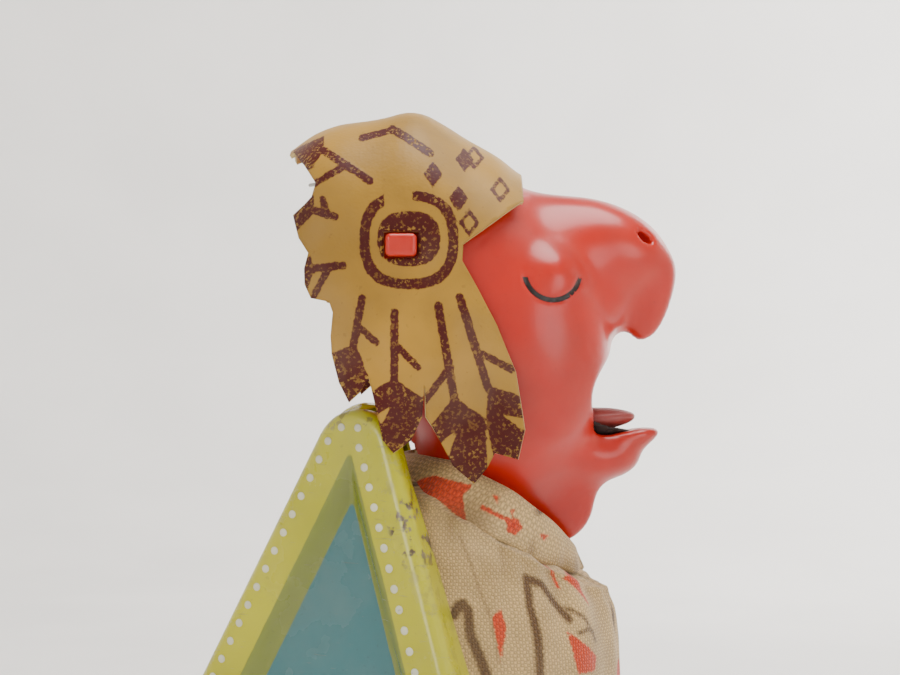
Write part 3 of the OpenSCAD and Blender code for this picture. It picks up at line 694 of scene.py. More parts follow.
def hood_pattern(step):
    """Flat pattern of one side: points (x, s) and triangles, with the tab's slot cut out."""
    side = []
    for (x0, z0), (x1, z1) in zip(HOOD_SIDE[:-1], HOOD_SIDE[1:]):
        n = max(1, int(math.hypot(x1 - x0, z1 - z0) / step))
        side += [(x0 + (x1 - x0) * i / n, z0 + (z1 - z0) * i / n) for i in range(n)]
    side.append(HOOD_SIDE[-1])
    xz = np.array(side)
    edge = np.column_stack([xz[:, 0], arc_length(xz[:, 0], xz[:, 1])])
    front = [(12.1, s) for s in np.arange(0, edge[0, 1], step)]
    back = [(-33.5, s) for s in np.arange(edge[-1, 1] - step, 0, -step)]
    top = [(x, 0.0) for x in np.arange(-33.5, 12.1, step)]
    outline = np.array(front + edge.tolist() + back + top)
    x0, x1, z0, z1 = SLOT
    hole = []
    for a, b in (((x0, z0), (x1, z0)), ((x1, z0), (x1, z1)), ((x1, z1), (x0, z1)), ((x0, z1), (x0, z0))):
        n = int(max(abs(b[0] - a[0]), abs(b[1] - a[1])) / step)
        hole += [(a[0] + (b[0] - a[0]) * i / n, a[1] + (b[1] - a[1]) * i / n) for i in range(n)]
    hole = np.array(hole)
    hole[:, 1] = arc_length(hole[:, 0], hole[:, 1])
    gx, gs = np.meshgrid(np.arange(-33, 12, step), np.arange(step, edge[:, 1].max(), step * 0.87))
    gx = gx + (np.arange(gx.shape[0]) % 2)[:, None] * step / 2
    fill = np.column_stack([gx.ravel(), gs.ravel()])
    fill = fill[(area(fill, outline.tolist()) < -0.45 * step) & (area(fill,
            hole.tolist()) > 0.45 * step)]
    loops, n = [], 0
    for loop in (outline, hole):
        loops += [(n + i, n + (i + 1) % len(loop)) for i in range(len(loop))]
        n += len(loop)
    points = np.concatenate([outline, hole, fill])
    made = delaunay_2d_cdt([Vector(p) for p in points.tolist()], loops, [], 0, 1e-5)
    flat = np.array([tuple(v) for v in made[0]])
    faces = np.array([f for f in made[2] if len(f) == 3])
    middle = flat[faces].mean(1)
    keep = inside(middle, outline.tolist()) & ~inside(middle, hole.tolist())
    return flat, faces[keep]


def vinyl_material(s):
    """Printed vinyl: ground, worn print and dirt."""
    material, tree, shader = surface("Printed vinyl", {"IOR": 1.42, "Specular IOR Level": 0.35})
    at = object_place(tree)
    cloud = put(tree, "ShaderNodeTexNoise", {"Vector": at, "Scale": 50, "Detail": 5}).outputs[0]
    ground = mixed(tree, ramp(tree, cloud, 0.3, 0.72), tuple(c * 1.12 for c in s.vinyl),
                   tuple(c * 0.72 for c in s.vinyl))
    ragged = put(tree, "ShaderNodeTexNoise", {"Vector": at, "Scale": 1100, "Detail": 4}).outputs[0]
    field = maths(tree, "ADD", read(tree, "print_mm"),
                  maths(tree, "MULTIPLY", maths(tree, "SUBTRACT", ragged, 0.5), 0.7))
    ink = maths(tree, "SUBTRACT", 1, ramp(tree, field, -0.12, 0.12))
    patches = patches_group()
    gone = use(tree, patches, {"Vector": at, "Scale": 1500, "Amount": s.wear * 0.9,
                               "Softness": 0.05})["Mask"]
    broad = use(tree, patches, {"Vector": at, "Scale": 140, "Amount": 0.45, "Softness": 0.25})["Mask"]
    worn = maths(tree, "MULTIPLY", gone, maths(tree, "ADD", 0.3,
                                               maths(tree, "ADD", broad, read(tree, "rubbed"))),
                 clamp=True)
    ink = maths(tree, "MULTIPLY", ink, maths(tree, "SUBTRACT", 1, worn))
    darker = mixed(tree, ramp(tree, cloud, 0.35, 0.65), tuple(c * 1.25 for c in s.print), tuple(s.print))
    dust = use(tree, grime_group(), {"Colour": mixed(tree, ink, ground, darker), "Strength": 0.3,
                                     "Roughness": 0.44})
    tree.links.new(dust["Colour"], shader.inputs["Base Color"])
    tree.links.new(dust["Roughness"], shader.inputs["Roughness"])
    grain = put(tree, "ShaderNodeTexVoronoi", {"Vector": at, "Scale": 1500}).outputs[0]
    height = maths(tree, "ADD", maths(tree, "MULTIPLY", grain, 0.35), maths(tree, "MULTIPLY", ink, 0.5))
    bump(tree, shader, maths(tree, "ADD", height, maths(tree, "MULTIPLY", ragged, 0.5)), 0.06)
    return material


def make_hood(s):
    """The hood of printed vinyl, slotted for the two tabs that hold it."""
    flat, faces = hood_pattern(s.step * 1000)
    points = hood_shape(flat[:, 0], np.maximum(flat[:, 1], 0))
    n = len(points)
    seam = np.abs(flat[:, 1]) < 1e-4
    other = np.where(seam, np.arange(n), np.arange(n) + n)
    both = np.concatenate([points, points * (1, -1, 1)])
    # outward is away from the arch's middle
    a, b, c = (points[faces[:, i]] for i in range(3))
    normal = np.cross(b - a, c - a)
    mid = (a + b + c) / 3
    out = (normal * (mid - (-8, 0, 178))).sum(1) > 0
    faces = np.where(out[:, None], faces, faces[:, ::-1])
    left = faces.tolist()
    right = other[faces][:, ::-1].tolist()
    used = np.unique(np.array(left + right))
    index = np.full(2 * n, -1)
    index[used] = np.arange(len(used))
    vinyl = vinyl_material(s)
    rim = plain("Cut vinyl edge", tuple(s.edge), 0.6, grime=0.3)
    hood = piece("Hood", both[used], index[np.array(left + right)], [vinyl, rim], "head",
                 ["hood"])
    side = np.column_stack([both[:, 0], both[:, 2]])[used]
    attribute(hood, "print_mm", hood_print(side))
    edge = np.minimum(np.abs(stroke(side, HOOD_SIDE, 0)), 9)
    tab = np.maximum(np.abs(side[:, 0] + 11.1) - 3.6, np.abs(side[:, 1] - 187.3) - 2.8)
    rubbed = np.clip(1 - edge / 1.2, 0, 1) * 0.8 + np.clip(1 - np.abs(tab) / 1.0, 0, 1)
    rubbed += np.clip(1 - np.hypot(side[:, 0] + 12, side[:, 1] - 197) / 5, 0, 1)
    rubbed += np.clip(1 - np.hypot(side[:, 0] + 12, side[:, 1] - 207) / 9, 0, 1) * 1.2
    attribute(hood, "rubbed", rubbed)
    thicken(hood, s.thickness, 1)


def make_tabs():
    """The rounded tabs moulded on the head that come through the hood's slots."""
    def tab(p):
        q = np.abs(p - (-11.15, 24.6, 187.3)) - (2.0, 2.2, 1.2)
        return np.linalg.norm(np.maximum(q, 0), axis=1) + np.minimum(q.max(1), 0) - 0.95
    points, faces = net(tab, (-15.5, 20, 183.5), (-6.8, 29.5, 191), 0.3)
    material = bpy.data.materials["Moulded head"]
    for side in (1, -1):
        p, f = (points, faces) if side > 0 else mirrored(points, faces)
        obj = piece("Hood tab " + ("left" if side > 0 else "right"), p, f, material, "head")
        attribute(obj, "lid", np.ones(len(p)))


# ---- Cloth ----

NECK = (5.3, 0, 139.8 - 5.3 * math.tan(math.radians(29.6)))
NECK_TILT = math.radians(29.6)
BODY = ([40, 48, 52, 56, 60, 66, 72, 80, 90, 100, 110, 118, 125.5, 130, 134, 138, 142, 146, 150],
        [21, 24.9, 26.8, 28.3, 29.5, 30.6, 31, 30.9, 30.4, 29.5, 28.2, 26.9, 25.4, 25, 24, 22.3, 19.6,
         15.6, 9])


def body_at(z):
    return np.interp(z, *BODY)


def from_neck(p):
    """From the neck's own place, square to its slope, to the body's."""
    c, s = math.cos(NECK_TILT), math.sin(NECK_TILT)
    p = np.asarray(p, float)
    return np.column_stack([p[:, 0] * c + p[:, 2] * s, p[:, 1], -p[:, 0] * s + p[:, 2] * c]) + NECK


def tiled(u, period):
    return (u + period / 2) % period - period / 2


COLLAR_PATCHES = [[(-6.7, 142.9), (-4.6, 143.2), (2.3, 141.7), (0.4, 139.8), (1.1, 134.8), (-4.6, 139.2),
                   (-3.9, 134.5), (-8.9, 136.0), (-10.5, 140.4)],
                  [(6, 139.9), (7.4, 139.7), (6.8, 138.3)], [(9, 137.4), (10.3, 137.2), (9.6, 136)],
                  [(14.6, 132.6), (16.6, 132.2), (15.6, 131)],
                  [(8.2, 135.4), (10.4, 135.8), (11.6, 133.8), (10.2, 132.4), (8.6, 133)]]
BRANCHES = [([(13.1, 124.8), (13.1, 119.5), (13.9, 114.8), (14.0, 110.1), (13.9, 104), (12, 98),
              (13, 90)], 1.7),
            ([(13.1, 124.8), (16.0, 123.6), (17.9, 120.7), (21.0, 116.7)], 1.6),
            ([(-1.4, 118.3), (-0.5, 120.0), (0.4, 120.4), (1.4, 119.2), (1.7, 114.8), (3.6, 110.1),
              (4.8, 106.5),
              (4, 98), (7, 92)], 2),
            ([(21.0, 118.9), (24.5, 116.7), (26.6, 113.6), (27.3, 112.0)], 0.8),
            ([(22.6, 114.0), (25.1, 114.5), (26.8, 113.6)], 0.8),
            ([(-12, 128), (-14, 120), (-12.5, 112), (-17, 104), (-15, 94)], 1.6),
            ([(-14, 120), (-18, 117), (-21, 111)], 1.2), ([(20, 104), (24, 98), (22, 91)], 1.3)]
PETALS = [[(7.5, 119.5), (8.4, 116.1), (7.1, 109.5), (5.7, 117.9)],
          [(20.1, 114.7), (23.2, 112.3), (27.0, 109.2), (26.3, 106.5), (21.7, 106.5)],
          [(21.7, 124.2), (24.5, 125.4), (26.3, 122.6), (27.9, 117.6), (25.4, 120.7), (23.5, 122.9)],
          [(-8, 113), (-5.4, 116), (-3.6, 112.4), (-5.6, 108)],
          [(-20, 128), (-16.5, 130), (-15, 126), (-18, 123)],
          [(-22, 104), (-19, 107), (-17.5, 102), (-20.6, 98.5)],
          [(-3, 101), (1, 103), (2.4, 98), (-1.6, 95.6)],
          [(15, 101), (18.4, 103.6), (20, 99), (16.6, 96)],
          [(8, 89), (11, 91.6), (14, 88.4), (10.6, 85.6)]]
PERIOD, REPEAT = 58.6, 48


def smock_print(u, z):
    """Distances to the brown and the orange print, unrolled round the body and repeated."""
    q = np.column_stack([tiled(u, PERIOD), 85 + (z - 85) % REPEAT])
    brown = np.full(len(q), 9.0)
    for points, width in BRANCHES:
        brown = np.minimum(brown, stroke(q, points, width))
    orange = np.minimum(np.full(len(q), 9.0), stroke(q, [(17.9, 128.9), (19.8, 127.0), (20.4, 122.6)],
                                                     0.8))
    for p in PETALS:
        orange = np.minimum(orange, area(q, p))
    return brown, orange


def cotton_material(s):
    """Coarse printed cotton with a plain weave, with painted shade in the gaps between its threads and painted
    shade darkening it into its folds and creases.
    """
    material, tree, shader = surface("Printed cotton", {"Roughness": 0.85, "Sheen Weight": 0.25,
                                                        "Sheen Roughness": 0.5,
                                                        "Specular IOR Level": 0.2})
    flat = put(tree, "ShaderNodeAttribute", attribute_name="flat_mm").outputs["Vector"]
    cloth = use(tree, weave_group(), {"Vector": flat, "Pitch": s.thread * 1000})
    cloud = put(tree, "ShaderNodeTexNoise", {"Vector": flat, "Scale": 0.09, "Detail": 5}).outputs[0]
    ground = mixed(tree, ramp(tree, cloud, 0.3, 0.72), tuple(s.cotton),
                   tuple(c * 0.72 for c in s.cotton))
    ragged = put(tree, "ShaderNodeTexNoise", {"Vector": flat, "Scale": 1.5, "Detail": 3}).outputs[0]
    shift = maths(tree, "MULTIPLY", maths(tree, "SUBTRACT", ragged, 0.5), 0.9)
    soft = maths(tree, "ADD", read(tree, "brown_mm"), shift)
    brown = maths(tree, "MULTIPLY", maths(tree, "SUBTRACT", 1, ramp(tree, soft, -0.5, 0.45)), 0.86)
    sharp = maths(tree, "ADD", read(tree, "orange_mm"), shift)
    orange = maths(tree, "MULTIPLY", maths(tree, "SUBTRACT", 1, ramp(tree, sharp, -0.25, 0.2)), 0.92)
    tint = mixed(tree, brown, ground, tuple(s.brown))
    tint = mixed(tree, orange, tint, tuple(s.orange))
    # Painted shade between the threads: the weave's Shade darkens the cotton in the low gaps and lightens it on
    # the raised threads
    threads = mixed(tree, ramp(tree, cloth["Shade"], 0.25, 0.95), tuple([0.62] * 3), tuple([1.12] * 3))
    tint = mixed(tree, 1.0, tint, threads, "MULTIPLY")
    # Painted shade: the cloth turns darker brown where the crease number is low, in the gathers' hollows and
    # along the collar's creases, and this also draws a thin darker line along the smock's front seam
    seam = maths(tree, "SUBTRACT", 1, ramp(tree, read(tree, "crease"), 0.0, 0.9))
    tint = mixed(tree, maths(tree, "MULTIPLY", seam, 0.45), tint, rgb(92, 66, 44))
    dust = use(tree, grime_group(), {"Colour": tint, "Strength": 0.25, "Roughness": 0.85})
    tree.links.new(dust["Colour"], shader.inputs["Base Color"])
    bump(tree, shader, cloth["Height"], 0.14, 0.8)
    return material


COLLAR = [(17.0, -4.0, 0), (17.2, -2.0, 0), (17.5, 0, 0.4), (17.9, 0, 0.85), (18.6, 0, 1),
          (19.5, 0, 0.9),
          (20.3, 0, 0.68), (21.2, 0, 0.35), (22.0, 0, 0.06), (22.4, 0, -0.1), (22.3, 0, -0.2)]


def make_collar(s):
    """The folded collar band, sewn down inside and rolled over outside, deep at the back."""
    turn = np.linspace(0, 2 * math.pi, 260, endpoint=False)
    along = np.linspace(0, len(COLLAR) - 1, 50)
    table = [np.interp(along, range(len(COLLAR)), [c[k] for c in COLLAR]) for k in range(3)]
    a, v = (m.ravel() for m in np.meshgrid(turn, along))
    r, foot, share = (np.repeat(t, len(turn)) for t in table)
    top = 0.6 + 4.6 * np.abs(np.sin(a)) ** 1.5
    low = -1.6 - 0.6 * np.abs(np.sin(a)) - 6.2 * np.clip(-np.cos(a), 0, 1) ** 1.4
    h = foot + np.where(v < 2.0, 0, low + (top - low) * share)
    h = np.where(v < 2.0, foot, np.where(v < 4, np.minimum(h, top), h))
    ring = np.column_stack([np.cos(a) * 20, np.sin(a) * 20, v * 1.1])
    loose = np.clip((v - 3) / 5, 0, 1)
    wave = 0.55 * noise(ring, 7, 5) + 0.4 * noise(ring * (1, 1, 0.4), 3.2, 8)
    crease = 0.3 * np.sin(9 * a + 2 * np.sin(3 * a))
    r = r + (wave + crease) * loose
    h = h + 0.5 * noise(ring, 9, 11) * np.clip(v - 2, 0, 1)
    points = from_neck(np.column_stack([np.cos(a) * r, np.sin(a) * r, h]))
    faces = grid_faces(len(along), len(turn), True)
    material = bpy.data.materials["Printed cotton"]
    collar = piece("Collar", points, faces, material, "body", ["collar"])
    side = points[:, [0, 2]]
    orange = np.full(len(points), 9.0)
    for patch in COLLAR_PATCHES:
        orange = np.minimum(orange, area(side, patch))
    orange = np.minimum(orange, stroke(side, [(4.2, 137.6), (8.6, 135.4), (10.4, 133.9)], 0.9))
    brown = np.full(len(points), 9.0)
    for x, z in ((9.6, 134.2), (-14, 143), (15, 136.5)):
        brown = np.minimum(brown, np.hypot((side[:, 0] - x) / 1.5, side[:, 1] - z) - 0.7)
    attribute(collar, "orange_mm", orange)
    attribute(collar, "brown_mm", brown)
    # Crease number for the cloth's painted shade: low along random crease lines, which the cotton darkens, and
    # raised at the sewn-down foot, which gets no painted shade
    ridge = np.abs(noise(ring * (1, 1, 0.3), 5, 21)) * 5 + (1 - loose) * 2
    attribute(collar, "crease", ridge)
    texture_place(collar, np.column_stack([a * 20, v * 1.3]))
    thicken(collar, s.thickness)
    return collar


SMOCK_ROWS, SMOCK_COLUMNS = 150, 290
HEM_ROW = 146  # the stitches follow this row of the smock


def make_smock(s):
    """The smock: gathered under the collar, puffed over the chest, hemmed at the bottom."""
    cols, rows = SMOCK_COLUMNS, SMOCK_ROWS
    turn = np.linspace(-math.pi, math.pi, cols, endpoint=False)
    a, v = (m.ravel() for m in np.meshgrid(turn, np.linspace(0, 1, rows)))
    lip = from_neck(np.column_stack([np.cos(a) * 17.2, np.sin(a) * 17.2, np.full(len(a), -3.7)]))
    # where the body's side meets its sloping top
    slope = math.tan(NECK_TILT)
    z_edge = np.full(len(a), 134.0)
    for _ in range(12):
        z_edge = 0.5 * z_edge + 0.5 * (NECK[2] + NECK[0] * slope - 5 / math.cos(NECK_TILT)
                                       - np.cos(a) * body_at(z_edge) * slope)
    skin = 0.4 + s.thickness * 1000
    shelf = 0.13
    k = np.clip(v / shelf, 0, 1)
    z = z_edge + 1.2 + (57.5 - z_edge - 1.2) * np.clip((v - shelf) / (1 - shelf), 0, 1)
    front = np.clip((np.cos(a) - 0.1) / 0.6, 0, 1)
    back = np.clip((-np.cos(a) - 0.75) / 0.25, 0, 1)
    puff = (2.0 * front + 0.9 * back) * np.exp(-(((z - 113) / 15) ** 2)) + 0.4 * front
    below = z_edge - z
    ring = np.column_stack([np.cos(a) * 28, np.sin(a) * 28, z])
    gather = np.exp(-np.abs(below) / 14) * (0.5 * np.sin(26 * a + 2.6 * np.sin(5 * a)) + 0.4 * np.sin(17 * a + 1))
    fold = 0.42 * np.sin(9 * a + 1.2 * np.sin(2 * a) + 0.02 * z) * np.clip((112 - z) / 30, 0, 1)
    limit = 0.25 + 0.75 * front + 0.6 * back
    wave = (gather * 0.8 + fold + 0.3 * noise(ring * (1, 1, 0.5), 9, 3)) * limit
    corner = 0.7 * np.exp(-((below / 2.0) ** 2))
    r = body_at(z) + skin + puff + wave - corner
    out_x, out_y = np.cos(a) * r, np.sin(a) * r
    ease = k * (2 - k)
    bulge = 1.4 * np.sin(math.pi * k) * (0.7 + 0.3 * np.sin(17 * a + 1))
    x = lip[:, 0] + (out_x - lip[:, 0]) * k
    y = lip[:, 1] + (out_y - lip[:, 1]) * k
    z = np.where(v < shelf, lip[:, 2] + (z_edge + 1.2 - lip[:, 2]) * ease + bulge, z)
    points = np.column_stack([x, y, z])
    faces = [f[::-1] for f in grid_faces(rows, cols, True)]
    material = cotton_material(s)
    smock = piece("Smock", points, faces, material, "body", ["smock"])
    u = 28 * np.where(np.sin(a) < 0, np.arctan2(np.cos(a), -np.sin(a)),
                      np.arctan2(np.cos(a), np.sin(a)) + 0.7)
    brown, orange = smock_print(u, z)
    attribute(smock, "brown_mm", brown)
    attribute(smock, "orange_mm", orange)
    side = np.column_stack([x, z])
    # Crease number for the cloth's painted shade: low along the front seam line and in the gathers' hollows,
    # where the cotton turns darker
    seam = np.abs(stroke(side, [(-0.2, 132.9), (1.7, 128.2), (3.6, 122.6), (5.4, 118.3), (7.1, 109.5)],
                         0))
    attribute(smock, "crease", np.minimum(seam * 1.6, 0.4 + np.clip(gather + 0.9, 0, 3)))
    texture_place(smock, np.column_stack([a * 29, z]))
    thicken(smock, s.thickness)
    return smock


def make_stitches(s, smock):
    """A row of stitches along the hem, laid by geometry nodes."""
    line = np.array([tuple(v.co) for v in smock.data.vertices]).reshape(SMOCK_ROWS, SMOCK_COLUMNS,
            3)[HEM_ROW]
    out = line - np.array(AXIS) / 1000
    out[:, 2] = 0
    out /= np.linalg.norm(out, axis=1)[:, None]
    path = outline_object("Hem line", line + out * 0.00006)
    thread = plain("Thread", rgb(214, 196, 160), 0.8, grime=0.2)
    nodes = bpy.data.node_groups.new("Row of stitches", "GeometryNodeTree")
    face = nodes.interface
    face.new_socket("Geometry", in_out="INPUT", socket_type="NodeSocketGeometry")
    for label, kind in (("Spacing", "NodeSocketFloat"), ("Length", "NodeSocketFloat"),
                        ("Width", "NodeSocketFloat"),
                        ("Material", "NodeSocketMaterial")):
        face.new_socket(label, in_out="INPUT", socket_type=kind)
    face.new_socket("Geometry", in_out="OUTPUT", socket_type="NodeSocketGeometry")
    i, o = nodes.nodes.new("NodeGroupInput").outputs, nodes.nodes.new("NodeGroupOutput").inputs
    curve = put(nodes, "GeometryNodeMeshToCurve", {"Mesh": i["Geometry"]})
    spaced = put(nodes, "GeometryNodeCurveToPoints", {"Curve": curve.outputs[0], "Length": i["Spacing"]},
                 mode="LENGTH")
    ball = put(nodes, "GeometryNodeMeshIcoSphere", {"Radius": 0.5, "Subdivisions": 2})
    size = put(nodes, "ShaderNodeCombineXYZ", {"X": i["Width"], "Y": i["Width"], "Z": i["Length"]})
    laid = put(nodes, "GeometryNodeInstanceOnPoints",
               {"Points": spaced.outputs["Points"], "Scale": size.outputs[0],
                                                       "Instance": ball.outputs["Mesh"],
                                                       "Rotation": spaced.outputs["Rotation"]})
    real = put(nodes, "GeometryNodeRealizeInstances", {0: laid.outputs[0]})
    smooth = put(nodes, "GeometryNodeSetShadeSmooth", {0: real.outputs[0]})
    done = put(nodes, "GeometryNodeSetMaterial",
               {"Geometry": smooth.outputs[0], "Material": i["Material"]})
    nodes.links.new(done.outputs[0], o[0])
    obj = converted(path, nodes, {"Spacing": s.stitch * 1.5, "Length": s.stitch,
                                  "Width": s.thickness * 0.6,
                                  "Material": thread}, "Hem stitches", thread)
    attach(obj, "body")


def outline_object(name, line):
    """A closed line of edges through points in metres."""
    mesh = bpy.data.meshes.new(name)
    n = len(line)
    mesh.from_pydata(np.asarray(line).tolist(), [(i, (i + 1) % n) for i in range(n)], [])
    obj = bpy.data.objects.new(name, mesh)
    bpy.context.scene.collection.objects.link(obj)
    return obj


def converted(source, nodes, values, name, material):
    """The plain mesh that a geometry node group makes of source, which is then removed."""
    modifier = source.modifiers.new("Made", "NODES")
    modifier.node_group = nodes
    for item in nodes.interface.items_tree:
        if item.item_type == "SOCKET" and item.in_out == "INPUT" and item.name in values:
            modifier[item.identifier] = values[item.name]
    bpy.context.view_layer.update()
    depsgraph = bpy.context.evaluated_depsgraph_get()
    mesh = bpy.data.meshes.new_from_object(source.evaluated_get(depsgraph), depsgraph=depsgraph)
    if not mesh or not len(mesh.polygons):
        raise RuntimeError(name + " came out empty")
    mesh.name = name.replace(" ", "_")
    obj = bpy.data.objects.new(mesh.name, mesh)
    bpy.context.scene.collection.objects.link(obj)
    bpy.data.objects.remove(source, do_unlink=True)
    if not mesh.materials:
        mesh.materials.append(material)
    return obj


# ---- Wings ----

WING_TURN, WING_LEAN, WING_TILT = (math.radians(a) for a in (30, 7.7, 4))
CORNER = 9.0
CENTRES = np.array([(0, -3), (17, -59.3), (-32.5, -59.3)])
STEP_OUT, FIELD_IN = 8.6, 12.3


def ring_at(d, corner_points=14, side_points=62):
    """The wing's outline moved in by d: points (x, z) and their outward directions."""
    tight = 0.7
    r = max(CORNER - d, tight)
    sides = [np.linalg.norm(CENTRES[(i + 1) % 3] - CENTRES[(i + 2) % 3]) for i in range(3)]
    middle = sum(k * p for k, p in zip(sides, CENTRES)) / sum(sides)
    reach = abs(np.cross(CENTRES[1] - CENTRES[0], CENTRES[2] - CENTRES[0])) / sum(sides)
    centres = middle + (CENTRES - middle) * (1 - max(0.0, d - (CORNER - tight)) / reach)
    points, out = [], []
    for i in range(3):
        before, here, after = centres[i - 1], centres[i], centres[(i + 1) % 3]
        first = math.atan2(here[0] - before[0], before[1] - here[1])
        last = math.atan2(after[0] - here[0], here[1] - after[1])
        while last > first:
            last -= 2 * math.pi
        for j in range(corner_points):
            a = first + (last - first) * j / (corner_points - 1)
            points.append(here + r * np.array((math.cos(a), math.sin(a))))
            out.append((math.cos(a), math.sin(a)))
        way = np.array((math.cos(last), math.sin(last)))
        for j in range(1, side_points):
            t = j / side_points
            points.append(here + (after - here) * t + r * way)
            out.append(tuple(way))
    return np.array(points), np.array(out)


def from_wing(p):
    """From the right wing's own place (x along it, y inward) to the body's."""
    p = np.asarray(p, float) + (0, -3.6, 0)
    c, s = math.cos(-WING_TILT), math.sin(-WING_TILT)
    p = np.column_stack([p[:, 0] * c + p[:, 2] * s, p[:, 1], -p[:, 0] * s + p[:, 2] * c])
    c, s = math.cos(-WING_LEAN), math.sin(-WING_LEAN)
    p = np.column_stack([p[:, 0], p[:, 1] * c - p[:, 2] * s, p[:, 1] * s + p[:, 2] * c])
    p = p + (-7.2, -23.8, 150)
    c, s = math.cos(-WING_TURN), math.sin(-WING_TURN)
    return np.column_stack([p[:, 0] * c - p[:, 1] * s, p[:, 0] * s + p[:, 1] * c, p[:, 2]])


def tin_material(s):
    """Printed tin: coloured border, slope and panel, chips, scratches and rust specks."""
    material, tree, shader = surface("Printed tin",
                                     {"IOR": 1.5, "Coat Weight": 0.4, "Coat Roughness": 0.12})
    at = object_place(tree)
    d = read(tree, "inward_mm")
    ragged = put(tree, "ShaderNodeTexNoise", {"Vector": at, "Scale": 500, "Detail": 3}).outputs[0]
    d = maths(tree, "ADD", d, maths(tree, "MULTIPLY", maths(tree, "SUBTRACT", ragged, 0.5), 0.25))
    cloud = put(tree, "ShaderNodeTexNoise", {"Vector": at, "Scale": 40, "Detail": 4}).outputs[0]
    border = mixed(tree, ramp(tree, cloud, 0.3, 0.7), tuple(s.yellow), tuple(c * 0.8 for c in s.yellow))
    tint = mixed(tree, ramp(tree, d, STEP_OUT - 0.15, STEP_OUT + 0.15), border, tuple(s.olive))
    tint = mixed(tree, ramp(tree, d, FIELD_IN - 0.2, FIELD_IN + 0.1), tint, tuple(s.teal))
    patches = patches_group()
    chip = use(tree, patches, {"Vector": at, "Scale": 420, "Amount": s.chips * 0.8,
                               "Softness": 0.03})["Mask"]
    near = maths(tree, "MULTIPLY", chip, read(tree, "worn"))
    long = put(tree, "ShaderNodeMapping", {"Vector": at, "Rotation": (0.3, 0.9, 0.5),
                                           "Scale": (1, 1, 14)}).outputs[0]
    scratch = use(tree, patches, {"Vector": long, "Scale": 150, "Amount": 0.12,
                                  "Softness": 0.02})["Mask"]
    bare = maths(tree, "MAXIMUM", near, maths(tree, "MULTIPLY", scratch, 0.55))
    rusty = mixed(tree, ramp(tree, ragged, 0.4, 0.6), rgb(70, 52, 34), rgb(120, 106, 84))
    tint = mixed(tree, bare, tint, rusty)
    dust = use(tree, grime_group(), {"Colour": tint, "Strength": 0.3, "Roughness": 0.25})
    tree.links.new(dust["Colour"], shader.inputs["Base Color"])
    rough = maths(tree, "ADD", dust["Roughness"], maths(tree, "MULTIPLY", bare, 0.3), clamp=True)
    tree.links.new(rough, shader.inputs["Roughness"])
    height = maths(tree, "ADD", maths(tree, "MULTIPLY", cloud, 0.7), maths(tree, "MULTIPLY", bare, -0.4))
    bump(tree, shader, height, 0.25, 0.5)
    return material


def wing_shell():
    """The wing's face as rings from the rolled lip to the panel's middle."""
    profile = [(d, ("lip", y)) for d, y in ((0.6, 0.0), (0.2, -0.12), (0.02, -0.45), (0.01, -0.9))]
    profile += [(0.0, ("flange", k)) for k in (0.25, 0.5, 0.75)]
    for a in (0, 15, 30, 45, 60, 75, 90):
        profile.append((2.3 - 2.3 * math.cos(math.radians(a)),
                        ("y", 0.3 - 2.3 * math.sin(math.radians(a)))))
    for d in (3.2, 4.2, 5.2, 6.2, 7.2, 8.0, 8.4):
        profile.append((d, ("y", -2.0)))
    for k in (0.03, 0.12, 0.3, 0.5, 0.7, 0.88, 0.97, 1.0):
        e = k * k * (3 - 2 * k)
        profile.append((8.6 + 3.8 * k, ("y", -2.0 + 2.8 * e)))
    for d in np.arange(12.8, 19.0, 0.6):
        profile.append((float(d), ("y", 0.8)))
    points, inner, worn = [], [], []
    for d, (kind, value) in profile:
        xz, out = ring_at(d)
        front = np.clip((out[:, 0] - 0.35) / 0.4, 0, 1)
        base, _ = ring_at(0)
        depth = 4 + 8.6 * front * np.clip((-base[:, 1] - 8) / 46, 0, 1)
        if kind == "y":
            y = np.full(len(xz), value)
        elif kind == "flange":
            y = depth - 0.9 + (1.2 - depth) * value
        else:
            y = depth + value
        # the front edge rolls back in a broad curve
        push = front * np.clip((y - 0.3) / 10, 0, 1) * 1.6
        xz = xz - out * push[:, None]
        points.append(np.column_stack([xz[:, 0], y, xz[:, 1]]))
        inner.append(np.full(len(xz), d))
        blotch = np.exp(-(((base[:, 1] + 17) / 5.5) ** 2)) * front
        edge = 0.25 if d < 1.2 else 0.1
        worn.append(np.clip(np.where(base[:, 1] > 2, 0.6, edge) * (d < 3) + 1.6 * blotch * (d < 5.2),
                            0, 1))
    return np.array(points), np.concatenate(inner), np.concatenate(worn)


